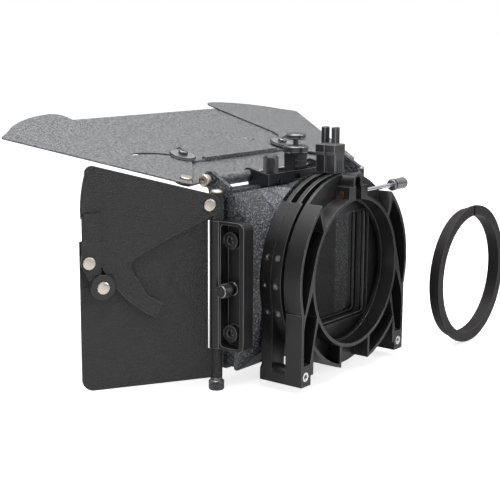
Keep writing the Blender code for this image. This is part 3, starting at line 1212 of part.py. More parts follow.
def build_side_flag(side, sign):
    """Main plate, hinge pin, knob, extension plate, guide and rivets of one side."""
    frame = side_flag(sign=sign)
    hinge = upright(sign * HINGE_X, HINGE_DEPTH, 0)
    hinge_point = (sign * HINGE_X, -HINGE_DEPTH, 0)
    half = FLAG_THICK / 2
    knuckle_top = BRACKET_BOTTOM - GAP
    upper_bottom = BRACKET_TOP + GAP
    root = KNUCKLE_R * 0.72
    plate = [(root, FLAG_BOTTOM)]
    plate += arc(FLAG_LENGTH - FLAG_CORNER, FLAG_BOTTOM + FLAG_CORNER, FLAG_CORNER, 270, 360, 6)
    plate += [(FLAG_LENGTH, FLAG_OUTER_TOP), FLAG_BEND, (FLAG_TOP_END, FLAG_TOP),
              (root, FLAG_TOP), (root, upper_bottom), (FLAG_EDGE, upper_bottom),
              (FLAG_EDGE, knuckle_top), (root, knuckle_top)]
    flag = solid(f"{side}_side_flag", GRAINED, prism(plate, frame, -half, half))
    fuse(flag, rod(hinge, KNUCKLE_R, FLAG_BOTTOM, knuckle_top, MIDDLE),
         rod(hinge, KNUCKLE_R, upper_bottom, FLAG_TOP, MIDDLE))
    pivots = [polar(GUIDE_PIVOT_R, angle, ARM_PIVOT_U, ARM_PIVOT_Z) for angle in GUIDE_ANGLES]
    shave = box_outline(-2 * KNUCKLE_R, 2 * KNUCKLE_R, upper_bottom - MM, FLAG_TOP + MM)
    cut(flag, rod(hinge, PIN_R + GAP, FLAG_BOTTOM - MM, knuckle_top + MM),
        rod(hinge, PIN_TOP_R + GAP, upper_bottom - MM, FLAG_TOP + MM),
        prism(shave, frame, ARM_LEVEL - GAP, 3 * KNUCKLE_R))
    for u, z in [(ARM_PIVOT_U, ARM_PIVOT_Z)] + pivots:
        cut(flag, rod(frame @ Matrix.Translation((u, z, 0)), RIVET_R + GAP, -half - MM,
                      half + MM))
    flag.data.transform(Matrix.Translation(-Vector(hinge_point)))
    flag.location = hinge_point

    knob_top = FLAG_BOTTOM - GAP
    shoulder = BRACKET_TOP - 4.0 * MM
    pin_end = FLAG_BOTTOM - PIN_BELOW
    pin = [(0.0, pin_end), (PIN_R, pin_end), (PIN_R, shoulder),
           (PIN_TOP_R, shoulder), (PIN_TOP_R, FLAG_TOP), (0.0, FLAG_TOP)]
    solid(f"{side}_hinge_pin", DARK_METAL, turned(pin, hinge), hinge_point)
    dome_base = FLAG_TOP + GAP
    dome = [(0.0, dome_base), (DOME_R, dome_base), (DOME_R, dome_base + 0.8 * MM)]
    for degrees in (25, 50, 75):
        angle = math.radians(degrees)
        dome.append((DOME_R * math.cos(angle),
                     dome_base + 0.8 * MM + (DOME_HEIGHT - 0.8 * MM) * math.sin(angle)))
    dome.append((0.0, dome_base + DOME_HEIGHT))
    solid(f"{side}_pin_screw", NICKEL, turned(dome, hinge), hinge_point)

    bore = PIN_R + GAP
    knob_low = knob_top - SIDE_KNOB_NECK - SIDE_KNOB_HEIGHT
    knob = [(0.0, pin_end - 2 * GAP), (bore, pin_end - 2 * GAP),
            (bore, knob_top), (SIDE_KNOB_R - MM, knob_top),
            (SIDE_KNOB_R - MM, knob_top - SIDE_KNOB_NECK),
            (SIDE_KNOB_R, knob_top - SIDE_KNOB_NECK - 0.6 * MM),
            (SIDE_KNOB_R, knob_low + MM), (SIDE_KNOB_R - MM, knob_low), (0.0, knob_low)]
    solid(f"{side}_hinge_knob", DARK_METAL, turned(knob, hinge, MIDDLE), hinge_point)

    arm_point = frame @ Vector((ARM_PIVOT_U, ARM_PIVOT_Z, ARM_LEVEL))
    lowered = frame @ turn_about(ARM_PIVOT_U, ARM_PIVOT_Z, -ARM_DROP[sign])
    arm = solid(f"{side}_extension_plate", GRAINED,
                prism(arm_outline(), lowered, ARM_LEVEL, ARM_TOP_LEVEL), arm_point)
    cut_at(arm, rod(frame @ Matrix.Translation((ARM_PIVOT_U, ARM_PIVOT_Z, 0)), RIVET_R + GAP,
                    ARM_LEVEL - MM, ARM_TOP_LEVEL + MM))

    guide = solid(f"{side}_extension_guide", GRAINED,
                  prism(guide_outline(pivots), frame, GUIDE_LEVEL, GUIDE_LEVEL + ARM_THICK))
    for u, z in pivots:
        fuse(guide, rod(frame @ Matrix.Translation((u, z, 0)), GUIDE_BOSS_R - 0.3 * MM,
                        half + GAP, GUIDE_LEVEL + 0.5 * MM))
    for u, z in pivots:
        cut(guide, rod(frame @ Matrix.Translation((u, z, 0)), RIVET_R + GAP, 0.0,
                       GUIDE_LEVEL + 2 * ARM_THICK))
    washer_seat = WASHER_LEVEL + FRICTION_THICK
    edge = 0.6 * MM
    washer = [(RIVET_R + GAP, WASHER_LEVEL), (FRICTION_R, WASHER_LEVEL),
              (FRICTION_R, washer_seat - edge), (FRICTION_R - edge, washer_seat),
              (RIVET_R + GAP, washer_seat)]
    solid(f"{side}_friction_washer", RUBBER,
          turned(washer, frame @ Matrix.Translation((*pivots[1], 0)), MIDDLE))
    solid(f"{side}_pivot_rivet", NICKEL,
          rivet(frame, ARM_PIVOT_U, ARM_PIVOT_Z, ARM_SHOULDER_R, ARM_TOP_LEVEL + GAP))
    solid(f"{side}_upper_guide_rivet", NICKEL, rivet(frame, *pivots[0], 0.0, WASHER_LEVEL))
    solid(f"{side}_lower_guide_rivet", NICKEL, rivet(frame, *pivots[1], 0.0, washer_seat + GAP))


def build_reduction_ring():
    """Loose split ring that takes the clamp down to a smaller lens, standing on its edge."""
    outer = BORE_R - RING_FIT
    flange = outer + RING_FLANGE
    place = Matrix.Translation(RING_PLACE) @ FRONT
    profile = [(RING_BORE_R, -RING_DEPTH / 2), (flange, -RING_DEPTH / 2),
               (flange, -RING_DEPTH / 2 + RING_FLANGE_DEPTH),
               (outer, -RING_DEPTH / 2 + RING_FLANGE_DEPTH), (outer, RING_DEPTH / 2),
               (RING_BORE_R, RING_DEPTH / 2)]
    ring = solid("reduction_ring", MATTE, turned(profile, place, ROUND))
    half = RING_SPLIT / 2
    cut(ring, prism(box_outline(-half, half, 0, flange + MM), place, -RING_DEPTH, RING_DEPTH))
    ring.data.transform(Matrix.Translation(-RING_PLACE))
    ring.location = RING_PLACE
    return ring


def build():
    """Model every piece of the matte box."""
    for obj in list(bpy.data.objects):
        bpy.data.objects.remove(obj)
    build_clamp()
    build_stages()
    build_hood()
    build_top_hinge()
    build_top_flag()
    for side, sign in SIDES:
        build_side_bracket(side, sign)
        build_side_flag(side, sign)
    build_reduction_ring()
    smooth_by_angle()


build()
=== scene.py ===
"""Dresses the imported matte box: finishes, fine pieces, studio and camera.

The lens axis is Y, the hood looks along -Y, +Z is up and +X is the operator's left.
"""
from __future__ import annotations

import json
import logging
import math
from dataclasses import asdict, dataclass
from enum import Enum
from typing import Callable, Sequence

import bmesh
import bpy
from mathutils import Matrix, Vector

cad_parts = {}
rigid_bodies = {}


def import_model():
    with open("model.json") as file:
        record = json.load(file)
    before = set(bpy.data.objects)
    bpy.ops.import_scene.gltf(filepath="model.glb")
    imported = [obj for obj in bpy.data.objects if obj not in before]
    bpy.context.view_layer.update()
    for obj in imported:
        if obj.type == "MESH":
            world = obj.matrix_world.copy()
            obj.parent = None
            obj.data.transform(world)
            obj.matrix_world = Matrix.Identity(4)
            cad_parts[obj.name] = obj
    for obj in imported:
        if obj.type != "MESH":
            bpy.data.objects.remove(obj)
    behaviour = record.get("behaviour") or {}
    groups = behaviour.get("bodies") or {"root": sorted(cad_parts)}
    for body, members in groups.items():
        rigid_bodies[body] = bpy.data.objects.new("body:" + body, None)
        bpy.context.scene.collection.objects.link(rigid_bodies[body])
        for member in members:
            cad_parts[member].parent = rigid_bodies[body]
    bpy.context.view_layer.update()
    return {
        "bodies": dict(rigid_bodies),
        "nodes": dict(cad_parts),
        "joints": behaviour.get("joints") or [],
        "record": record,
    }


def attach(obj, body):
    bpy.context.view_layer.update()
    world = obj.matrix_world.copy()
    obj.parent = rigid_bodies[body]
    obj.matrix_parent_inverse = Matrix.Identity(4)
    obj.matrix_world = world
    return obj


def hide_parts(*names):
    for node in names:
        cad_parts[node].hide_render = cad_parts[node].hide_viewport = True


MM = 0.001
SIDES = (("left", 1), ("right", -1))
LOG = logging.getLogger("matte_box")

# Angles in degrees. Shading breaks over SHARP_ANGLE, faces less than FLAT_ANGLE apart become
# one, and edges over EDGE_ANGLE are rounded. A side flag's own angle is from straight across.
SHARP_ANGLE = 40.0
FLAT_ANGLE = 0.8
EDGE_ANGLE = 32.0
FLAG_ANGLES = {"left": 30.0, "right": 84.0}

WELD = 0.002 * MM
TOP_HINGE_DEPTH = 85.7 * MM
TOP_HINGE_Z = 85.3 * MM

# Sockets of the Mix node when it mixes colours.
MIX_FIRST = 6
MIX_SECOND = 7
MIX_RESULT = 2

Profile = list[tuple[float, float]]
Triple = tuple[float, float, float]
Port = bpy.types.NodeSocket


class Relief(Enum):
    """Texture groups that a finish can carry."""

    MOULDED = "moulded_relief"
    PEBBLE = "pebble_relief_with_highlights"
    LEATHER = "leather_relief"
    POWDER = "powder_relief"
    TURNED = "turned_relief"


class Tree:
    """Short way to write a node tree."""

    def __init__(self, tree: bpy.types.NodeTree) -> None:
        """Keep the tree that the nodes go into."""
        self.tree = tree

    def add(self, kind: str, **values: object) -> bpy.types.Node:
        """Add one node.

        Args:
            kind: Blender's type name of the node.
            values: Properties by name. A name that is an input sets its default, and an
                output given as the value is linked to that input.

        Returns:
            The node.
        """
        node = self.tree.nodes.new(kind)
        for name, value in values.items():
            label = name.replace("_", " ").title()
            if isinstance(value, Port):
                self.link(value, node.inputs[label])
            elif label in node.inputs and not hasattr(node, name):
                node.inputs[label].default_value = value
            else:
                setattr(node, name, value)
        return node

    def link(self, source: Port, target: Port) -> None:
        """Join an output to an input."""
        self.tree.links.new(source, target)

    def math(self, operation: str, first: object, second: object = 0.0) -> Port:
        """Add a Math node on two sockets or numbers and return its result."""
        node = self.add("ShaderNodeMath", operation=operation)
        for socket, value in zip(node.inputs, (first, second)):
            if isinstance(value, Port):
                self.link(value, socket)
            else:
                socket.default_value = value
        return node.outputs[0]


class ReliefLibrary:
    """Shader node groups, each built once: a size in, a height and a mask out.

    Clouds are noise cells per metre. Levels are the two values that a mask spans.
    """

    GLOSS_CLOUDS = 38.0
    HIDE_CLOUDS = 60.0
    METAL_CLOUDS = 120.0
    # The pebble mask's levels, which pick the crests that get painted highlights.
    PEBBLE_LEVELS = (0.55, 0.95)
    PEBBLE_FINER = 1.3
    PEBBLE_SHARE = 0.6
    CREASE_LEVELS = (0.0, 0.3)
    HIDE_SHARE = 0.8
    HIDE_WARP = (0.002, 0.002, 0.002)
    WARP_COARSER = 0.4
    POWDER_LEVELS = (0.38, 0.64)
    STREAK_STRETCH = (0.15, 1.0, 1.0)

    def __init__(self) -> None:
        """Start with no group built."""
        self.groups: dict[Relief, bpy.types.NodeTree] = {}

    def get(self, relief: Relief) -> bpy.types.NodeTree:
        """Return the group of a relief, built on first use."""
        if relief not in self.groups:
            self.groups[relief] = self.build(relief)
        return self.groups[relief]

    def build(self, relief: Relief) -> bpy.types.NodeTree:
        """Build one group.

        Args:
            relief: Which texture the group draws.

        Returns:
            A group with inputs Vector and Cell, and outputs Height and Mask.
        """
        group = bpy.data.node_groups.new(relief.value, "ShaderNodeTree")
        for name, way, kind in (("Vector", "INPUT", "Vector"), ("Cell", "INPUT", "Float"),
                                ("Height", "OUTPUT", "Float"), ("Mask", "OUTPUT", "Float")):
            group.interface.new_socket(name, in_out=way, socket_type=f"NodeSocket{kind}")
        tree = Tree(group)
        start = tree.add("NodeGroupInput")
        scale = tree.math("DIVIDE", 1.0, start.outputs["Cell"])
        painters: dict[Relief, Callable[..., tuple[Port, Port]]] = {
            Relief.MOULDED: self.moulded, Relief.PEBBLE: self.pebble,
            Relief.LEATHER: self.leather, Relief.POWDER: self.powder,
            Relief.TURNED: self.turned}
        height, mask = painters[relief](tree, start.outputs["Vector"], scale)
        tree.add("NodeGroupOutput", height=height, mask=mask)
        return group

    def noise(self, tree: Tree, vector: Port, scale: object, detail: float,
              roughness: float = 0.5) -> Port:
        """Add a noise texture and return its value."""
        return tree.add("ShaderNodeTexNoise", vector=vector, scale=scale, detail=detail,
                        roughness=roughness).outputs[0]

    def sharpened(self, tree: Tree, value: Port, levels: tuple[float, float]) -> Port:
        """Stretch the values between two levels over the whole range."""
        low, high = levels
        return tree.add("ShaderNodeMapRange", interpolation_type="SMOOTHSTEP", value=value,
                        from_min=low, from_max=high).outputs[0]

    def moulded(self, tree: Tree, vector: Port, scale: Port) -> tuple[Port, Port]:
        """Faint orange peel with broad cloudy gloss."""
        fine = self.noise(tree, vector, scale, detail=3.0)
        return fine, self.noise(tree, vector, self.GLOSS_CLOUDS, detail=4.0, roughness=0.6)

    def pebble(self, tree: Tree, vector: Port, scale: Port) -> tuple[Port, Port]:
        """Coarse wrinkle finish: uneven round bumps of two sizes; the mask paints highlights
        on the bump crests and painted shade lower down.
        """
        bumps = tree.add("ShaderNodeTexVoronoi", feature="SMOOTH_F1", smoothness=0.6,
                         vector=vector, scale=scale)
        inverse = tree.math("SUBTRACT", 1.0, bumps.outputs["Distance"])
        finer = tree.math("MULTIPLY", scale, self.PEBBLE_FINER)
        fine = self.noise(tree, vector, finer, detail=3.0)
        height = tree.math("ADD", tree.math("MULTIPLY", inverse, self.PEBBLE_SHARE),
                           tree.math("MULTIPLY", fine, self.PEBBLE_SHARE))
        return height, self.sharpened(tree, height, self.PEBBLE_LEVELS)

    def leather(self, tree: Tree, vector: Port, scale: Port) -> tuple[Port, Port]:
        """Leather grain: cells with creases between them."""
        coarser = tree.math("MULTIPLY", scale, self.WARP_COARSER)
        warp = tree.add("ShaderNodeTexNoise", vector=vector, scale=coarser, detail=2.0)
        bend = tree.add("ShaderNodeVectorMath", operation="MULTIPLY_ADD")
        bend.inputs[1].default_value = self.HIDE_WARP
        tree.link(warp.outputs["Color"], bend.inputs[0])
        tree.link(vector, bend.inputs[2])
        cells = tree.add("ShaderNodeTexVoronoi", feature="DISTANCE_TO_EDGE",
                         vector=bend.outputs[0], scale=scale)
        crease = self.sharpened(tree, cells.outputs["Distance"], self.CREASE_LEVELS)
        broad = self.noise(tree, vector, self.HIDE_CLOUDS, detail=3.0)
        height = tree.math("ADD", crease, tree.math("MULTIPLY", broad, self.HIDE_SHARE))
        return height, broad

    def powder(self, tree: Tree, vector: Port, scale: Port) -> tuple[Port, Port]:
        """Fine gritty coat with faint flecks."""
        grit = self.noise(tree, vector, scale, detail=4.0, roughness=0.7)
        return grit, self.sharpened(tree, grit, self.POWDER_LEVELS)

    def turned(self, tree: Tree, vector: Port, scale: Port) -> tuple[Port, Port]:
        """Short random streaks of a machined face."""
        stretch = tree.add("ShaderNodeVectorMath", operation="MULTIPLY")
        stretch.inputs[1].default_value = self.STREAK_STRETCH
        tree.link(vector, stretch.inputs[0])
        streaks = self.noise(tree, stretch.outputs[0], scale, detail=2.0)
        return streaks, self.noise(tree, vector, self.METAL_CLOUDS, detail=3.0)


@dataclass(frozen=True)
class Finish:
    """One finish of the box, with the relief that its texture group draws.

    Colours are linear. A cell is the size of one grain and a depth its height, in metres.
    The gloss varies over the middle of the mask's range.
    """

    MASK_LOW = 0.3
    MASK_HIGH = 0.7

    name: str
    slot: str
    color: Triple
    roughness: float
    metallic: float = 0.0
    relief: Relief = Relief.MOULDED
    cell: float = 1.0 * MM
    depth: float = 0.02 * MM
    contrast: float = 0.15
    gloss_spread: float = 0.08
    specular: float = 0.5

    def material(self, library: ReliefLibrary) -> bpy.types.Material:
        """Return this finish's material, made on first use.

        Args:
            library: The texture groups.

        Returns:
            The material.
        """
        found = bpy.data.materials.get(self.name)
        if found:
            return found
        made = bpy.data.materials.new(self.name)
        made.use_nodes = True
        tree = Tree(made.node_tree)
        shader = made.node_tree.nodes["Principled BSDF"]
        shader.inputs["Metallic"].default_value = self.metallic
        shader.inputs["Specular IOR Level"].default_value = self.specular
        place = tree.add("ShaderNodeTexCoord")
        texture = tree.add("ShaderNodeGroup", node_tree=library.get(self.relief),
                           cell=self.cell, vector=place.outputs["Object"])

        # The mask moves the colour down and up by the contrast: random tone for most reliefs,
        # painted crest highlights and painted hollow shade for the pebble relief.
        shade = tree.add("ShaderNodeMix", data_type="RGBA")
        for socket, share in ((MIX_FIRST, 1 - self.contrast), (MIX_SECOND, 1 + self.contrast)):
            shade.inputs[socket].default_value = (*(c * share for c in self.color), 1.0)
        tree.link(texture.outputs["Mask"], shade.inputs["Factor"])
        tree.link(shade.outputs[MIX_RESULT], shader.inputs["Base Color"])

        gloss = tree.add("ShaderNodeMapRange", value=texture.outputs["Mask"],
                         from_min=self.MASK_LOW, from_max=self.MASK_HIGH,
                         to_min=self.roughness - self.gloss_spread,
                         to_max=self.roughness + self.gloss_spread)
        tree.link(gloss.outputs[0], shader.inputs["Roughness"])

        bump = tree.add("ShaderNodeBump", strength=1.0, distance=self.depth,
                        height=texture.outputs["Height"])
        tree.link(bump.outputs["Normal"], shader.inputs["Normal"])
        return made


def metal(name: str, slot: str, color: Triple, roughness: float, metallic: float,
          cell: float = 0.5 * MM, depth: float = 0.01 * MM) -> Finish:
    """Return a finish with the short streaks of a machined face."""
    return Finish(name, slot, color, roughness, metallic, Relief.TURNED, cell, depth)


def aimed(place: Sequence[float], direction: Sequence[float]) -> Matrix:
    """Return the placement that turns +Z to a direction and moves the origin to a place."""
    turn = Vector(direction).to_track_quat("Z", "Y").to_matrix().to_4x4()
    return Matrix.Translation(place) @ turn


def placed(name: str, data: bpy.types.ID) -> bpy.types.Object:
    """Make an object of some data and put it into the scene."""
    made = bpy.data.objects.new(name, data)
    bpy.context.scene.collection.objects.link(made)
    return made


def band(inner: float, outer: float, low: float, high: float) -> Profile:
    """Return the outline of a plain ring."""
    return [(inner, low), (outer, low), (outer, high), (inner, high)]


def turned(bm: bmesh.types.BMesh, profile: Profile, place: Matrix, steps: int = 48) -> None:
    """Add a closed ring or solid of revolution.

    Args:
        bm: The mesh that takes it.
        profile: Radius and height of each corner; a radius of zero closes an end.
        place: Placement of the axis, which is +Z.
        steps: Facets around.
    """
    rings = []
    for radius, height in profile:
        if radius == 0.0:
            rings.append([bm.verts.new(place @ Vector((0.0, 0.0, height)))])
            continue
        rings.append([bm.verts.new(place @ Vector((radius * math.cos(angle),
                                                   radius * math.sin(angle), height)))
                      for angle in (math.tau * i / steps for i in range(steps))])
    pairs = list(zip(rings, rings[1:]))
    if profile[0][0] and profile[-1][0]:
        pairs.append((rings[-1], rings[0]))
    faces = []
    for low, high in pairs:
        for i in range(steps):
            j = (i + 1) % steps
            corners = [low[i % len(low)], low[j % len(low)], high[j % len(high)],
                       high[i % len(high)]]
            faces.append(bm.faces.new(list(dict.fromkeys(corners))))
    bmesh.ops.recalc_face_normals(bm, faces=faces)


class Pattern(Enum):
    """Repeats that Geometry Nodes grow."""

    STUDS = "knurl_studs"
    COIL = "thread_coil"
    SCREWS = "socket_screws"
    RIBS = "grip_ribs"


@dataclass(frozen=True)
class Knurl:
    """Rows of pointed studs round a grip, each row shifted by a share of a stud."""

    around: int
    rows: int
    radius: float
    pitch: float
    stud_radius: float
    stud_height: float
    skew: float = 0.5


@dataclass(frozen=True)
class Thread:
    """A thread's ridge."""

    radius: float
    pitch: float
    turns: float
    wire: float


@dataclass(frozen=True)
class Socket:
    """A round head with a hexagonal key hole."""

    radius: float
    height: float
    key: float
    deep: float


@dataclass(frozen=True)
class Bars:
    """Bars in a row."""

    count: int
    step: Triple
    size: Triple


Repeat = Knurl | Thread | Socket | Bars
PATTERN_OF = {Knurl: Pattern.STUDS, Thread: Pattern.COIL, Socket: Pattern.SCREWS,
              Bars: Pattern.RIBS}


class PatternTrees:
    """Geometry node trees, each built once, with named inputs for its sizes."""

    STUD_SIDES = 4
    COIL_STEPS = 20
    RIDGE_SIDES = 4
    HEAD_SIDES = 24
    KEY_SIDES = 6
    INPUTS = {
        Pattern.STUDS: (("Around", "Int"), ("Rows", "Int"), ("Radius", "Float"),
                        ("Pitch", "Float"), ("Stud Radius", "Float"), ("Stud Height", "Float"),
                        ("Skew", "Float")),
        Pattern.COIL: (("Radius", "Float"), ("Pitch", "Float"), ("Turns", "Float"),
                       ("Wire", "Float")),
        Pattern.SCREWS: (("Radius", "Float"), ("Height", "Float"), ("Key", "Float"),
                         ("Deep", "Float")),
        Pattern.RIBS: (("Count", "Int"), ("Step", "Vector"), ("Size", "Vector")),
    }

    def __init__(self) -> None:
        """Start with no tree built."""
        self.trees: dict[Pattern, bpy.types.NodeTree] = {}

    def get(self, pattern: Pattern) -> bpy.types.NodeTree:
        """Return the tree of a pattern, built on first use."""
        if pattern not in self.trees:
            self.trees[pattern] = self.build(pattern)
        return self.trees[pattern]

    def build(self, pattern: Pattern) -> bpy.types.NodeTree:
        """Build one tree, which ends in Realize Instances and Set Material."""
        group = bpy.data.node_groups.new(pattern.value, "GeometryNodeTree")
        face = group.interface
        face.new_socket("Geometry", in_out="INPUT", socket_type="NodeSocketGeometry")
        for name, kind in self.INPUTS[pattern]:
            face.new_socket(name, in_out="INPUT", socket_type=f"NodeSocket{kind}")
        face.new_socket("Finish", in_out="INPUT", socket_type="NodeSocketMaterial")
        face.new_socket("Geometry", in_out="OUTPUT", socket_type="NodeSocketGeometry")
        tree = Tree(group)
        start = tree.add("NodeGroupInput").outputs
        growers = {Pattern.STUDS: self.studs, Pattern.COIL: self.coil,
                   Pattern.SCREWS: self.screws, Pattern.RIBS: self.ribs}
        grown = growers[pattern](tree, start)
        real = tree.add("GeometryNodeRealizeInstances", geometry=grown)
        coat = tree.add("GeometryNodeSetMaterial", geometry=real.outputs["Geometry"],
                        material=start["Finish"])
        tree.add("NodeGroupOutput", geometry=coat.outputs["Geometry"])
        return group

    def studs(self, tree: Tree, start: bpy.types.NodeOutputs) -> Port:
        """Four-sided points in staggered rows round an axis."""
        total = tree.math("MULTIPLY", start["Around"], start["Rows"])
        line = tree.add("GeometryNodeMeshLine", count=total)
        index = tree.add("GeometryNodeInputIndex").outputs["Index"]
        row = tree.math("FLOOR", tree.math("DIVIDE", index, start["Around"]))
        along = tree.math("SUBTRACT", index, tree.math("MULTIPLY", row, start["Around"]))
        shifted = tree.math("ADD", along, tree.math("MULTIPLY", row, start["Skew"]))
        angle = tree.math("MULTIPLY", tree.math("DIVIDE", shifted, start["Around"]), math.tau)
        place = tree.add("ShaderNodeCombineXYZ",
                         x=tree.math("MULTIPLY", tree.math("COSINE", angle), start["Radius"]),
                         y=tree.math("MULTIPLY", tree.math("SINE", angle), start["Radius"]),
                         z=tree.math("MULTIPLY", row, start["Pitch"]))
        seat = tree.add("GeometryNodeSetPosition", geometry=line.outputs["Mesh"],
                        position=place.outputs["Vector"])
        point = tree.add("GeometryNodeMeshCone", vertices=self.STUD_SIDES, radius_top=0.0,
                         radius_bottom=start["Stud Radius"], depth=start["Stud Height"])
        turn = tree.add("ShaderNodeCombineXYZ", y=math.pi / 2, z=angle)
        grown = tree.add("GeometryNodeInstanceOnPoints", points=seat.outputs["Geometry"],
                         instance=point.outputs["Mesh"], rotation=turn.outputs["Vector"])
        return grown.outputs["Instances"]

    def coil(self, tree: Tree, start: bpy.types.NodeOutputs) -> Port:
        """A thread's ridge, wound up an axis."""
        path = tree.add("GeometryNodeCurveSpiral", resolution=self.COIL_STEPS,
                        rotations=start["Turns"], start_radius=start["Radius"],
                        end_radius=start["Radius"],
                        height=tree.math("MULTIPLY", start["Turns"], start["Pitch"]))
        section = tree.add("GeometryNodeCurvePrimitiveCircle", resolution=self.RIDGE_SIDES,
                           radius=start["Wire"])
        wound = tree.add("GeometryNodeCurveToMesh", fill_caps=True,
                         curve=path.outputs["Curve"], profile_curve=section.outputs["Curve"])
        return wound.outputs["Mesh"]

    def screws(self, tree: Tree, start: bpy.types.NodeOutputs) -> Port:
        """A round head with a hexagonal key hole at every point of the base mesh."""
        head = tree.add("GeometryNodeMeshCylinder", vertices=self.HEAD_SIDES,
                        radius=start["Radius"], depth=start["Height"])
        key = tree.add("GeometryNodeMeshCylinder", vertices=self.KEY_SIDES,
                       radius=start["Key"], depth=tree.math("MULTIPLY", start["Deep"], 2.0))
        lift = tree.add("ShaderNodeCombineXYZ", z=tree.math("MULTIPLY", start["Height"], 0.5))
        raised = tree.add("GeometryNodeTransform", geometry=key.outputs["Mesh"],
                          translation=lift.outputs["Vector"])
        bored = tree.add("GeometryNodeMeshBoolean", operation="DIFFERENCE",
                         mesh_1=head.outputs["Mesh"], mesh_2=raised.outputs["Geometry"])
        grown = tree.add("GeometryNodeInstanceOnPoints", points=start["Geometry"],
                         instance=bored.outputs["Mesh"])
        return grown.outputs["Instances"]

    def ribs(self, tree: Tree, start: bpy.types.NodeOutputs) -> Port:
        """Bars in a row."""
        line = tree.add("GeometryNodeMeshLine", count=start["Count"], offset=start["Step"])
        bar = tree.add("GeometryNodeMeshCube", size=start["Size"])
        grown = tree.add("GeometryNodeInstanceOnPoints", points=line.outputs["Mesh"],
                         instance=bar.outputs["Mesh"])
        return grown.outputs["Instances"]


MOULDED = Finish("satin_moulding", "moulded_black", (0.011, 0.011, 0.012), 0.36,
                 cell=0.8 * MM, depth=0.012 * MM, specular=0.35)
# Painted highlight: light grey on the rounded edges of the black mouldings.
MOULDED_EDGE_HIGHLIGHT = Finish("moulding_edge_highlight", "moulded_black", (0.15, 0.15, 0.155), 0.32,
                      cell=0.8 * MM, depth=0.012 * MM)
CLAMP_FACE = Finish("ribbed_casting", "moulded_black", (0.010, 0.010, 0.011), 0.34,
                    cell=0.8 * MM, depth=0.015 * MM, specular=0.4)
# Painted highlight: bright grey on the clamp ring's rounded edges.
CLAMP_EDGE_HIGHLIGHT = Finish("casting_edge_highlight", "moulded_black", (0.30, 0.30, 0.31), 0.28,
                    cell=0.8 * MM, depth=0.01 * MM)
# Dark wrinkle coat with painted highlights on its bump crests and painted shade in its
# hollows.
PEBBLED = Finish("wrinkle_coat_crest_highlights", "pebbled_black", (0.115, 0.130, 0.155), 0.36,
                 relief=Relief.PEBBLE, cell=1.7 * MM, depth=0.8 * MM, contrast=0.9,
                 specular=0.7)
# Painted highlight: pale blue-grey on the hood's rounded ridges.
PEBBLED_RIDGE_HIGHLIGHT = Finish("wrinkle_ridge_highlight", "pebbled_black", (0.36, 0.39, 0.44), 0.3,
                      relief=Relief.PEBBLE, cell=1.5 * MM, depth=0.2 * MM, contrast=0.4)
GRAINED = Finish("leather_coat", "grained_black", (0.009, 0.009, 0.0095), 0.40,
                 relief=Relief.LEATHER, cell=1.8 * MM, depth=0.35 * MM, contrast=0.5,
                 specular=0.5)
# Painted highlight: grey on the rounded edges of the grained flag parts.
GRAINED_EDGE_HIGHLIGHT = Finish("leather_edge_highlight", "grained_black", (0.14, 0.14, 0.143), 0.4, 0.3,
                      cell=0.5 * MM, depth=0.01 * MM)
POWDER = Finish("grey_powder_coat", "powder_grey", (0.145, 0.148, 0.153), 0.4,
                relief=Relief.POWDER, cell=2.2 * MM, depth=0.5 * MM, contrast=0.6)
# Painted shade: near black on the rounded edges of the grey powder-coated parts.
POWDER_EDGE_SHADE = Finish("powder_edge_shade", "powder_grey", (0.03, 0.03, 0.032), 0.4, 0.3,
                     relief=Relief.POWDER, cell=0.7 * MM, depth=0.03 * MM, contrast=0.2)
DARK_METAL = metal("dark_anodised", "dark_metal", (0.09, 0.09, 0.095), 0.34, 0.85)
# Painted highlight: light grey on the rounded edges of the dark metal parts.
METAL_EDGE_HIGHLIGHT = metal("anodised_edge_highlight", "dark_metal", (0.42, 0.42, 0.42), 0.28, 0.9,
                   depth=0.006 * MM)
BLACK_METAL = metal("black_anodised", "dark_metal", (0.025, 0.025, 0.027), 0.38, 0.5)
WASHER_TOP = metal("brushed_washer", "dark_metal", (0.42, 0.42, 0.42), 0.32, 0.9)
NICKEL = metal("warm_nickel", "nickel", (0.56, 0.51, 0.46), 0.3, 1.0,
               cell=0.4 * MM, depth=0.006 * MM)
STEEL = metal("polished_steel", "bright_steel", (0.74, 0.74, 0.76), 0.18, 1.0,
              cell=0.4 * MM, depth=0.004 * MM)
BRASS = metal("turned_brass", "brass", (0.42, 0.27, 0.12), 0.35, 1.0,
              cell=0.4 * MM, depth=0.006 * MM)
BRONZE = metal("dark_bronze", "brass", (0.10, 0.055, 0.03), 0.45, 0.7,
               cell=0.4 * MM, depth=0.006 * MM)
RUBBER = Finish("gloss_rubber", "rubber", (0.008, 0.008, 0.008), 0.22,
                cell=0.5 * MM, depth=0.01 * MM)
GRIP_GREY = metal("grey_anodised", "grip_grey", (0.26, 0.27, 0.28), 0.34, 0.8)
STUD_GREY = metal("dark_stud", "grip_grey", (0.05, 0.05, 0.052), 0.36, 0.7)
# Painted highlight: dark grey on the rounded edges of the matt ring.
RING_EDGE_HIGHLIGHT = Finish("matt_edge_highlight", "matte_black", (0.045, 0.042, 0.045), 0.5,
                   cell=0.6 * MM, depth=0.02 * MM, specular=0.3)
MATTE = Finish("matt_moulding", "matte_black", (0.013, 0.011, 0.011), 0.55,
               cell=0.6 * MM, depth=0.02 * MM, specular=0.2)


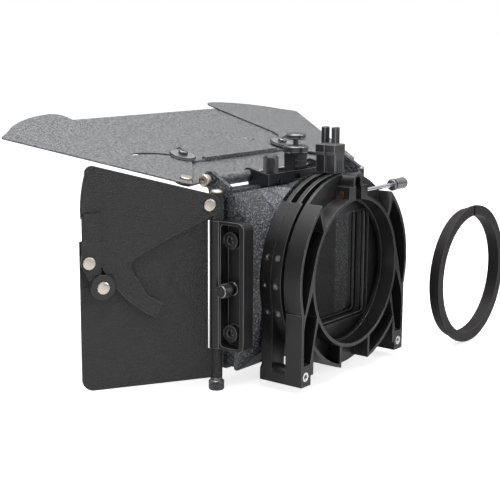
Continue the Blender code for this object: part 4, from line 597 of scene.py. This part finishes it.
class Workshop:
    """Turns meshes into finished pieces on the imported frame."""

    def __init__(self, frame: dict) -> None:
        """Read which body each node belongs to.
        """
        self.nodes: dict[str, bpy.types.Object] = frame["nodes"]
        self.library = ReliefLibrary()
        self.patterns = PatternTrees()
        bodies = frame["record"]["behaviour"]["bodies"]
        self.body_of = {node: body for body, nodes in bodies.items() for node in nodes}

    def finish(self, piece: bpy.types.Object, node: str, finish: Finish,
               edge: Finish | None = None, replaces: bool = False) -> bpy.types.Object:
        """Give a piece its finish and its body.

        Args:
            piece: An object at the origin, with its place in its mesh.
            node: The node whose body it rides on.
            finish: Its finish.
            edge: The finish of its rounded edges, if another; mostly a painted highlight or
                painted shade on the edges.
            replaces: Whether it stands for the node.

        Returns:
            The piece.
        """
        piece.data.materials.clear()
        piece.data.materials.append(finish.material(self.library))
        if edge:
            piece.data.materials.append(edge.material(self.library))
        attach(piece, self.body_of[node])
        if replaces:
            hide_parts(node)
        LOG.info("%s rides on %s", piece.name, self.body_of[node])
        return piece

    def softened(self, node: str, finish: Finish, edge: Finish | None = None,
                 width: float = 0.4 * MM, angle: float = EDGE_ANGLE) -> bpy.types.Object:
        """Copy a node with rounded edges, and let the copy stand for it.

        Args:
            node: The node.
            finish: The copy's finish.
            edge: The finish of the rounded edges, if another; mostly a painted highlight or
                painted shade on the edges.
            width: Width of the rounding.
            angle: Smallest angle, in degrees, that counts as an edge.

        Returns:
            The copy.
        """
        bm = bmesh.new()
        bm.from_mesh(self.nodes[node].data)
        bmesh.ops.remove_doubles(bm, verts=bm.verts, dist=WELD)
        bmesh.ops.dissolve_limit(bm, angle_limit=math.radians(FLAT_ANGLE), verts=bm.verts,
                                 edges=bm.edges)
        piece = self.piece(f"{node}_dressed", bm)
        rounding = piece.modifiers.new("rounding", "BEVEL")
        rounding.width = width
        rounding.segments = 2
        rounding.limit_method = "ANGLE"
        rounding.angle_limit = math.radians(angle)
        rounding.harden_normals = True
        rounding.use_clamp_overlap = True
        # The rounded edges take the second finish, mostly a painted edge highlight or painted
        # edge shade.
        if edge:
            rounding.material = 1
        return self.finish(piece, node, finish, edge, replaces=True)

    def piece(self, name: str, bm: bmesh.types.BMesh,
              sharp: float = SHARP_ANGLE) -> bpy.types.Object:
        """Close a bmesh into a smooth-shaded object at the origin."""
        mesh = bpy.data.meshes.new(name)
        bm.to_mesh(mesh)
        bm.free()
        mesh.shade_smooth()
        mesh.set_sharp_from_angle(angle=math.radians(sharp))
        return placed(name, mesh)

    def turning(self, name: str, node: str, finish: Finish, profile: Profile,
                place: Matrix) -> bpy.types.Object:
        """Make a turned piece.

        Args:
            name: The piece's name.
            node: The node that carries it.
            finish: Its finish.
            profile: Radius and height of each corner.
            place: Placement of its axis.

        Returns:
            The piece.
        """
        bm = bmesh.new()
        turned(bm, profile, place)
        return self.finish(self.piece(name, bm), node, finish)

    def grown(self, name: str, node: str, finish: Finish, repeat: Repeat, place: Matrix,
              points: Sequence[Triple] = ()) -> bpy.types.Object:
        """Grow a repeat with Geometry Nodes and keep it as a plain mesh.

        Args:
            name: The piece's name.
            node: The node that carries it.
            finish: Its finish.
            repeat: What repeats, with its sizes.
            place: Placement of the repeat's own axes.
            points: Where sockets stand, if not at the place itself.

        Returns:
            The piece.
        """
        base = bpy.data.meshes.new(f"{name}_base")
        back = place.inverted()
        spots = [tuple(back @ Vector(point)) for point in points] or [(0.0, 0.0, 0.0)]
        base.from_pydata(spots, [], [])
        carrier = placed(f"{name}_base", base)
        tree = self.patterns.get(PATTERN_OF[type(repeat)])
        growth = carrier.modifiers.new("growth", "NODES")
        growth.node_group = tree
        values = {key.replace("_", " ").title(): value
                  for key, value in asdict(repeat).items()}
        values["Finish"] = finish.material(self.library)
        for item in tree.interface.items_tree:
            if item.in_out == "INPUT" and item.name in values:
                growth[item.identifier] = values[item.name]
        shown = carrier.evaluated_get(bpy.context.evaluated_depsgraph_get())
        mesh = bpy.data.meshes.new_from_object(shown)
        bpy.data.objects.remove(carrier)
        mesh.transform(place)
        mesh.set_sharp_from_angle(angle=math.radians(SHARP_ANGLE))
        mesh.name = name
        return self.finish(placed(name, mesh), node, finish)


@dataclass
class LensClamp:
    """Split ring with its tightening screw and the feet's threaded inserts."""

    screw_depth: float = 9.1 * MM
    screw_z: float = 69.8 * MM
    screw_r: float = 2.1 * MM
    screw_ridge: float = 0.26 * MM
    thread_end: float = 7.0 * MM
    pitch: float = 0.7 * MM
    grip_start: float = 70.3 * MM
    grip_r: float = 5.4 * MM
    grip_length: float = 22.0 * MM
    collar: tuple[float, float] = (1.2 * MM, 2.9 * MM)
    collar_sunk: float = 1.2 * MM
    collar_proud: float = 0.12 * MM
    bead_from_end: tuple[float, float] = (2.4 * MM, 1.9 * MM)
    bead_sunk: float = 0.6 * MM
    bead_proud: float = 0.1 * MM
    foot_x: float = 76.3 * MM
    foot_z: float = -79.6 * MM
    insert_bore: float = 2.2 * MM
    insert_thread: float = 14.0 * MM
    insert_start: float = 0.8 * MM
    insert_ridge: float = 0.2 * MM
    core_depth: float = 2.4 * MM
    core_thick: float = 1.2 * MM
    core_dip: float = 0.5 * MM
    core_overlap: float = 0.1 * MM

    def build(self, shop: Workshop) -> None:
        """Dress the clamp and add its fine pieces."""
        shop.softened("lens_clamp_ring", CLAMP_FACE, CLAMP_EDGE_HIGHLIGHT, width=0.7 * MM)
        shop.softened("clamp_screw", STEEL)
        shop.softened("clamp_nut", BRASS, width=0.25 * MM)
        shop.softened("clamp_handle", GRIP_GREY, width=0.5 * MM)
        self.build_thread(shop)
        self.build_grip(shop)
        for side, sign in SIDES:
            shop.softened(f"{side}_foot_insert", STEEL, width=0.3 * MM)
            self.build_insert(shop, side, sign)

    def build_thread(self, shop: Workshop) -> None:
        """Cut the screw's thread between the lugs."""
        place = aimed((-self.thread_end, -self.screw_depth, self.screw_z), (1, 0, 0))
        thread = Thread(self.screw_r, self.pitch, 2 * self.thread_end / self.pitch,
                        self.screw_ridge)
        shop.grown("clamp_screw_thread", "clamp_screw", STEEL, thread, place)

    def build_grip(self, shop: Workshop) -> None:
        """Put the dark collar and the bright bead on the handle."""
        place = aimed((-self.grip_start, -self.screw_depth, self.screw_z), (-1, 0, 0))
        r = self.grip_r
        collar = band(r - self.collar_sunk, r + self.collar_proud, *self.collar)
        shop.turning("handle_collar", "clamp_handle", BLACK_METAL, collar, place)
        low, high = (self.grip_length - back for back in self.bead_from_end)
        bead = band(r - self.bead_sunk, r + self.bead_proud, low, high)
        shop.turning("handle_bead", "clamp_handle", STEEL, bead, place)

    def build_insert(self, shop: Workshop, side: str, sign: int) -> None:
        """Put the thread and the brown core into a foot's insert."""
        node = f"{side}_foot_insert"
        mouth = aimed((sign * self.foot_x, 0.0, self.foot_z), (0, -1, 0))
        thread = Thread(self.insert_bore, self.pitch, self.insert_thread / self.pitch,
                        self.insert_ridge)
        shop.grown(f"{side}_insert_thread", node, STEEL, thread,
                   mouth @ Matrix.Translation((0, 0, self.insert_start)))
        r = self.insert_bore + self.core_overlap
        top = self.core_depth
        low = top + self.core_thick
        core = [(0.0, top), (r / 2, top - self.core_dip), (r, top), (r, low), (0.0, low)]
        shop.turning(f"{side}_insert_core", node, BRONZE, core, mouth)


@dataclass
class FilterStages:
    """Rotating and fixed stage, their trays, handles and set screws."""

    rim_r: float = 86.9 * MM
    middles: tuple[tuple[str, float], ...] = (("rear", 25.7 * MM), ("front", 36.5 * MM))
    screw_heights: tuple[float, ...] = (21.8 * MM, -2.4 * MM, -26.9 * MM)
    screw_sunk: float = 0.3 * MM
    set_screw: Socket = Socket(2.45 * MM, 0.9 * MM, key=1.35 * MM, deep=0.7 * MM)
    handle_depth: float = 10.0 * MM
    ribs_z: float = 105.5 * MM
    ribs: Bars = Bars(4, step=(0.0, 0.0, 1.6 * MM), size=(14.2 * MM, 0.7 * MM, 0.7 * MM))
    slats_z: float = 93.6 * MM
    slats: Bars = Bars(3, step=(3.0 * MM, 0.0, 0.0), size=(1.1 * MM, 0.6 * MM, 9.0 * MM))

    def build(self, shop: Workshop) -> None:
        """Dress both stages."""
        for which, middle in self.middles:
            shop.softened(f"{which}_stage", MOULDED, MOULDED_EDGE_HIGHLIGHT, width=0.45 * MM)
            shop.softened(f"{which}_filter_tray", MOULDED, MOULDED_EDGE_HIGHLIGHT, width=0.35 * MM)
            shop.softened(f"{which}_tray_handle", self.handle_finish(which), MOULDED_EDGE_HIGHLIGHT,
                          width=0.8 * MM)
            self.build_set_screws(shop, which, middle)
            self.build_handle(shop, which, middle)

    def handle_finish(self, which: str) -> Finish:
        """Return the finish of a tray's handle."""
        return DARK_METAL if which == "rear" else BLACK_METAL

    def build_set_screws(self, shop: Workshop, which: str, middle: float) -> None:
        """Put the socket faces of the set screws into the stage's rim."""
        for side, sign in SIDES:
            points = []
            for z in self.screw_heights:
                surface = math.sqrt(self.rim_r ** 2 - z ** 2)
                points.append((sign * (surface - self.screw_sunk), -middle, z))
            shop.grown(f"{which}_{side}_set_screws", f"{which}_stage", NICKEL, self.set_screw,
                       aimed((0, 0, 0), (sign, 0, 0)), points)

    def build_handle(self, shop: Workshop, which: str, middle: float) -> None:
        """Put grip ribs on the handle's head and slats on its stem."""
        node = f"{which}_tray_handle"
        finish = self.handle_finish(which)
        for name, face in (("rear", 1), ("front", -1)):
            y = -middle + face * self.handle_depth / 2
            shop.grown(f"{which}_handle_ribs_{name}", node, finish, self.ribs,
                       Matrix.Translation((0, y, self.ribs_z)))
            shop.grown(f"{which}_handle_slats_{name}", node, finish, self.slats,
                       Matrix.Translation((-self.slats.step[0], y, self.slats_z)))


@dataclass
class Hood:
    """Sunshade shell."""

    rounding: float = 0.6 * MM
    ridge_angle: float = 14.0

    def build(self, shop: Workshop) -> None:
        """Dress the shell in wrinkle coat, with painted highlights on its ridges and bump
        crests.
        """
        shop.softened("hood_shell", PEBBLED, PEBBLED_RIDGE_HIGHLIGHT, width=self.rounding,
                      angle=self.ridge_angle)


@dataclass
class TopHinge:
    """Hinge rod, caps, centre bracket, tilt knob and the tower with its button."""

    cap_end: float = 110.8 * MM
    cap_sunk: float = 0.8 * MM
    cap_socket: Socket = Socket(2.6 * MM, 1.4 * MM, key=1.7 * MM, deep=1.2 * MM)
    knob_x: float = 28.9 * MM
    knob_depth: float = 75.4 * MM
    knob_low: float = 82.0 * MM
    knurl_height: float = 17.6 * MM
    knurl_rows: int = 18
    knurl: Knurl = Knurl(38, knurl_rows, 6.6 * MM, pitch=knurl_height / knurl_rows,
                         stud_radius=0.62 * MM, stud_height=0.55 * MM)

    def build(self, shop: Workshop) -> None:
        """Dress the hinge and add its fine pieces."""
        shop.softened("top_hinge_rod", STEEL)
        shop.softened("top_hinge_bracket", BLACK_METAL, METAL_EDGE_HIGHLIGHT, width=0.35 * MM)
        shop.softened("tilt_clamp_plate", POWDER, POWDER_EDGE_SHADE)
        shop.softened("tilt_lock_knob", DARK_METAL, METAL_EDGE_HIGHLIGHT, width=0.3 * MM, angle=60.0)
        shop.softened("button_tower", MOULDED, MOULDED_EDGE_HIGHLIGHT, width=0.35 * MM)
        shop.softened("release_button", DARK_METAL, METAL_EDGE_HIGHLIGHT, width=0.3 * MM, angle=40.0)
        self.build_knurl(shop)
        for side, sign in SIDES:
            shop.softened(f"{side}_hinge_cap", NICKEL, width=0.3 * MM)
            self.build_cap_key(shop, side, sign)

    def build_knurl(self, shop: Workshop) -> None:
        """Knurl the tilt knob."""
        place = Matrix.Translation((self.knob_x, -self.knob_depth, self.knob_low))
        shop.grown("tilt_knob_knurl", "tilt_lock_knob", DARK_METAL, self.knurl, place)

    def build_cap_key(self, shop: Workshop, side: str, sign: int) -> None:
        """Put the key hole into a hinge cap."""
        place = aimed((sign * (self.cap_end - self.cap_sunk), -TOP_HINGE_DEPTH, TOP_HINGE_Z),
                      (sign, 0, 0))
        shop.grown(f"{side}_cap_key", f"{side}_hinge_cap", NICKEL, self.cap_socket, place)


@dataclass
class TopFlag:
    """Hinge plate, panel and wings.

    A pair of sizes is a place on the flag: how far out along X, and how far from its hinge.
    """

    tilt: float = math.radians(15.0)
    washer_place: tuple[float, float] = (75.059 * MM, 56.241 * MM)
    screw_top: float = 4.6 * MM
    socket_sunk: float = 1.1 * MM
    socket: Socket = Socket(2.3 * MM, 1.4 * MM, key=1.6 * MM, deep=1.2 * MM)
    panel_top: float = -2.6 * MM
    crease: tuple[tuple[float, float], ...] = ((60.1 * MM, 79.3 * MM), (18.4 * MM, 113.7 * MM),
                                               (50.7 * MM, 77.1 * MM))
    crease_rise: float = 1.6 * MM
    crease_sunk: float = 0.4 * MM
    crease_angle: float = 20.0

    def plane(self) -> Matrix:
        """Return the placement of the flag's own axes: X, along the flag, and up from it."""
        c, s = math.cos(self.tilt), math.sin(self.tilt)
        return Matrix(((1, 0, 0, 0), (0, -c, s, -TOP_HINGE_DEPTH), (0, s, c, TOP_HINGE_Z),
                       (0, 0, 0, 1)))

    def build(self, shop: Workshop) -> None:
        """Dress the flag."""
        shop.softened("top_flag_hinge_plate", POWDER, POWDER_EDGE_SHADE, width=0.3 * MM)
        shop.softened("top_flag_panel", POWDER, POWDER_EDGE_SHADE, width=0.35 * MM)
        for side, sign in SIDES:
            shop.softened(f"{side}_wing", POWDER, POWDER_EDGE_SHADE, width=0.35 * MM)
            shop.softened(f"{side}_wing_pivot", NICKEL, width=0.25 * MM)
            shop.softened(f"{side}_wing_washer", WASHER_TOP, BLACK_METAL, width=0.45 * MM)
            shop.softened(f"{side}_wing_screw", DARK_METAL, METAL_EDGE_HIGHLIGHT, width=0.25 * MM)
            self.build_key(shop, side, sign)
            self.build_crease(shop, side, sign)

    def build_key(self, shop: Workshop, side: str, sign: int) -> None:
        """Put the key hole into a wing screw."""
        x, s = self.washer_place
        at = self.plane() @ Vector((sign * x, s, self.screw_top - self.socket_sunk))
        up = (0, math.sin(self.tilt), math.cos(self.tilt))
        shop.grown(f"{side}_wing_screw_key", f"{side}_wing_screw", DARK_METAL, self.socket,
                   aimed(at, up))

    def build_crease(self, shop: Workshop, side: str, sign: int) -> None:
        """Raise the pressed stiffening dart, whose ridge falls away to its point."""
        bm = bmesh.new()
        plane = self.plane()
        low = self.panel_top - self.crease_sunk
        near, tip, far = (plane @ Vector((sign * x, s, low)) for x, s in self.crease)
        middle = (near + far) / 2
        up = plane.to_3x3() @ Vector((0, 0, self.crease_rise + self.crease_sunk))
        corners = [bm.verts.new(point) for point in (near, far, tip, middle + up)]
        for trio in ((0, 1, 2), (0, 1, 3), (1, 2, 3), (2, 0, 3)):
            bm.faces.new([corners[i] for i in trio])
        bmesh.ops.recalc_face_normals(bm, faces=bm.faces)
        dart = shop.piece(f"{side}_panel_dart", bm, self.crease_angle)
        shop.finish(dart, "top_flag_panel", POWDER)


@dataclass
class SideBracket:
    """Open tray on the hood's side with its screws and stud."""

    side: str
    sign: int
    face_x: float = 105.4 * MM
    boss_depth: float = 56.9 * MM
    boss_heights: tuple[float, float] = (36.8 * MM, -44.2 * MM)
    stud_depth: float = 58.5 * MM
    stud_z: float = -5.7 * MM
    stud_end: float = 120.3 * MM
    bolt_socket: Socket = Socket(2.6 * MM, 0.8 * MM, key=1.5 * MM, deep=0.6 * MM)
    stud_socket: Socket = Socket(3.4 * MM, 0.9 * MM, key=2.0 * MM, deep=0.8 * MM)
    stud_sunk: float = 0.3 * MM
    knurl_length: float = 9.0 * MM
    knurl: Knurl = Knurl(28, 7, 5.7 * MM, pitch=1.05 * MM, stud_radius=0.75 * MM,
                         stud_height=0.6 * MM)

    def build(self, shop: Workshop) -> None:
        """Dress the bracket."""
        bracket = f"{self.side}_side_bracket"
        shop.softened(bracket, MOULDED, MOULDED_EDGE_HIGHLIGHT, width=0.4 * MM)
        for end in ("upper", "lower"):
            shop.softened(f"{self.side}_{end}_bracket_screw", BLACK_METAL, width=0.25 * MM)
        stud = f"{self.side}_accessory_stud"
        shop.softened(stud, STUD_GREY, METAL_EDGE_HIGHLIGHT, width=0.4 * MM)
        points = [(self.sign * self.face_x, -self.boss_depth, z) for z in self.boss_heights]
        shop.grown(f"{self.side}_bracket_keys", bracket, NICKEL, self.bolt_socket,
                   aimed((0, 0, 0), (self.sign, 0, 0)), points)
        shop.grown(f"{self.side}_stud_knurl", stud, STUD_GREY, self.knurl,
                   self.stud_axis(self.knurl_length))
        shop.grown(f"{self.side}_stud_key", stud, STUD_GREY, self.stud_socket,
                   self.stud_axis(self.stud_sunk))

    def stud_axis(self, short: float) -> Matrix:
        """Return the placement of the stud's axis, from a point short of its end."""
        return aimed((self.sign * (self.stud_end - short), -self.stud_depth, self.stud_z),
                     (self.sign, 0, 0))


@dataclass
class SideFlag:
    """Side flag with its knob, extension plate, guide and rivets."""

    side: str
    sign: int
    angle: float
    hinge_x: float = 110.5 * MM
    hinge_depth: float = 71.0 * MM
    knob_low: float = -99.0 * MM
    knurl: Knurl = Knurl(24, 8, 6.2 * MM, pitch=1.55 * MM, stud_radius=0.95 * MM,
                         stud_height=0.8 * MM)
    eyelet: tuple[float, float] = (41.1 * MM, 3.9 * MM)
    eyelet_radii: tuple[float, float] = (0.9 * MM, 2.0 * MM)
    eyelet_half: float = 1.1 * MM

    def build(self, shop: Workshop) -> None:
        """Dress the flag."""
        side = self.side
        shop.softened(f"{side}_side_flag", GRAINED, GRAINED_EDGE_HIGHLIGHT, width=0.4 * MM)
        shop.softened(f"{side}_extension_plate", GRAINED, GRAINED_EDGE_HIGHLIGHT, width=0.35 * MM)
        shop.softened(f"{side}_extension_guide", GRAINED, GRAINED_EDGE_HIGHLIGHT, width=0.35 * MM)
        shop.softened(f"{side}_hinge_pin", BLACK_METAL)
        shop.softened(f"{side}_pin_screw", NICKEL, width=0.25 * MM)
        shop.softened(f"{side}_hinge_knob", DARK_METAL, METAL_EDGE_HIGHLIGHT, width=0.35 * MM)
        shop.softened(f"{side}_friction_washer", RUBBER, width=0.4 * MM)
        for rivet in ("pivot_rivet", "upper_guide_rivet", "lower_guide_rivet"):
            shop.softened(f"{side}_{rivet}", NICKEL, width=0.35 * MM)
        self.build_knurl(shop)
        self.build_eyelet(shop)

    def build_knurl(self, shop: Workshop) -> None:
        """Knurl the hinge knob."""
        place = Matrix.Translation((self.sign * self.hinge_x, -self.hinge_depth,
                                    self.knob_low))
        shop.grown(f"{self.side}_knob_knurl", f"{self.side}_hinge_knob", DARK_METAL,
                   self.knurl, place)

    def build_eyelet(self, shop: Workshop) -> None:
        """Set the small eyelet of the flag's stop into the plate."""
        u, z = self.eyelet
        c, s = math.cos(self.angle), math.sin(self.angle)
        at = Vector((self.sign * (self.hinge_x + u * c), -self.hinge_depth - u * s, z))
        ring = band(*self.eyelet_radii, -self.eyelet_half, self.eyelet_half)
        shop.turning(f"{self.side}_stop_eyelet", f"{self.side}_side_flag", BLACK_METAL, ring,
                     aimed(at, (self.sign * s, c, 0)))


@dataclass
class ReductionRing:
    """Loose split ring beside the box."""

    def build(self, shop: Workshop) -> None:
        """Dress the ring."""
        shop.softened("reduction_ring", MATTE, RING_EDGE_HIGHLIGHT, width=0.3 * MM)


@dataclass(frozen=True)
class Lamp:
    """One soft box, aimed at a point."""

    name: str
    place: Triple
    target: Triple
    size: float
    power: float


@dataclass
class Studio:
    """Floor, light and camera.

    The sky's strength grows from the horizon's to full at the height sky_full, and matt
    surfaces get the share fill of it.
    """

    floor_z: float = -95.5 * MM
    floor_half: float = 30.0
    floor_grey: float = 0.82
    camera_place: Triple = (0.84383, 0.53660, 0.21349)
    azimuth: float = 52.07
    elevation: float = 11.05
    roll: float = 0.355
    lens: float = 82.149
    sensor: float = 36.0
    nearest: float = 0.05
    floor_glow: float = 0.75
    glossy_glow: float = 0.2
    fill: float = 0.42
    horizon: float = 0.12
    sky_full: float = 0.75
    lamps: tuple[Lamp, ...] = (
        Lamp("top_box", (0.1, -0.1, 1.3), (0.0, -0.1, 0.0), size=1.4, power=24.0),
        Lamp("rear_box", (-0.5, 1.5, 0.7), (0.0, 0.0, 0.0), size=0.8, power=8.0),
        Lamp("side_box", (1.5, 0.1, 0.9), (0.0, 0.0, 0.0), size=0.9, power=5.0))

    def build(self) -> None:
        """Set up the whole studio."""
        self.build_floor()
        self.build_world()
        self.build_lamps()
        self.build_camera()
        bpy.context.scene.view_settings.view_transform = "Standard"

    def build_camera(self) -> None:
        """Put the camera where the photograph was taken from."""
        az, el = math.radians(self.azimuth), math.radians(self.elevation)
        back = Vector((math.sin(az) * math.cos(el), math.cos(az) * math.cos(el), math.sin(el)))
        right = (-back).cross(Vector((0, 0, 1))).normalized()
        up = right.cross(-back)
        turn = Matrix((right, up, back)).transposed().to_4x4()
        data = bpy.data.cameras.new("camera")
        data.lens = self.lens
        data.sensor_width = self.sensor
        data.clip_start = self.nearest
        camera = placed("camera", data)
        roll = Matrix.Rotation(math.radians(self.roll), 4, "Z")
        camera.matrix_world = Matrix.Translation(self.camera_place) @ turn @ roll
        bpy.context.scene.camera = camera

    def build_floor(self) -> None:
        """Lay a pale floor that shows white and keeps the shadow."""
        bm = bmesh.new()
        h = self.floor_half
        bm.faces.new([bm.verts.new(p) for p in ((-h, -h, self.floor_z), (h, -h, self.floor_z),
                                                (h, h, self.floor_z), (-h, h, self.floor_z))])
        mesh = bpy.data.meshes.new("floor")
        bm.to_mesh(mesh)
        bm.free()
        floor = placed("floor", mesh)
        made = bpy.data.materials.new("floor_paper")
        made.use_nodes = True
        tree = Tree(made.node_tree)
        made.node_tree.nodes.clear()
        paper = tree.add("ShaderNodeBsdfDiffuse")
        grey = self.floor_grey
        paper.inputs["Color"].default_value = (grey, grey, grey, 1.0)
        path = tree.add("ShaderNodeLightPath")
        seen = tree.math("MAXIMUM", path.outputs["Is Camera Ray"],
                         tree.math("MULTIPLY", path.outputs["Is Glossy Ray"],
                                   self.glossy_glow))
        glow = tree.add("ShaderNodeEmission",
                        strength=tree.math("MULTIPLY", seen, self.floor_glow))
        both = tree.add("ShaderNodeAddShader")
        tree.link(paper.outputs[0], both.inputs[0])
        tree.link(glow.outputs[0], both.inputs[1])
        tree.add("ShaderNodeOutputMaterial", surface=both.outputs[0])
        mesh.materials.append(made)

    def build_world(self) -> None:
        """Pale light that grows upward from the horizon, plain white to the camera."""
        world = bpy.data.worlds.new("studio")
        world.use_nodes = True
        bpy.context.scene.world = world
        tree = Tree(world.node_tree)
        sky = world.node_tree.nodes["Background"]
        sky.inputs["Color"].default_value = (1.0, 1.0, 1.0, 1.0)
        path = tree.add("ShaderNodeLightPath")
        seen = tree.math("MAXIMUM", path.outputs["Is Camera Ray"],
                         path.outputs["Is Transmission Ray"])
        glossy = path.outputs["Is Glossy Ray"]
        place = tree.add("ShaderNodeTexCoord")
        split = tree.add("ShaderNodeSeparateXYZ", vector=place.outputs["Generated"])
        height = tree.add("ShaderNodeMapRange", interpolation_type="SMOOTHSTEP",
                          value=split.outputs["Z"], from_max=self.sky_full,
                          to_min=self.horizon)
        share = tree.math("ADD", tree.math("MULTIPLY", glossy, 1.0 - self.fill), self.fill)
        lit = tree.math("MULTIPLY", height.outputs[0], share)
        strength = tree.math("MAXIMUM", seen, lit)
        tree.link(strength, sky.inputs["Strength"])

    def build_lamps(self) -> None:
        """Hang the soft boxes."""
        for box in self.lamps:
            data = bpy.data.lights.new(box.name, "AREA")
            data.size = box.size
            data.energy = box.power
            aim = Vector(box.target) - Vector(box.place)
            turn = aim.to_track_quat("-Z", "Y").to_matrix().to_4x4()
            placed(box.name, data).matrix_world = Matrix.Translation(box.place) @ turn


def main() -> None:
    """Dress the frame and set up the studio."""
    logging.basicConfig(level=logging.INFO)
    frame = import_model()
    shop = Workshop(frame)
    Studio().build()
    LensClamp().build(shop)
    FilterStages().build(shop)
    Hood().build(shop)
    TopHinge().build(shop)
    TopFlag().build(shop)
    for side, sign in SIDES:
        SideBracket(side, sign).build(shop)
        SideFlag(side, sign, math.radians(FLAG_ANGLES[side])).build(shop)
    ReductionRing().build(shop)


if __name__ == "__main__":
    main()
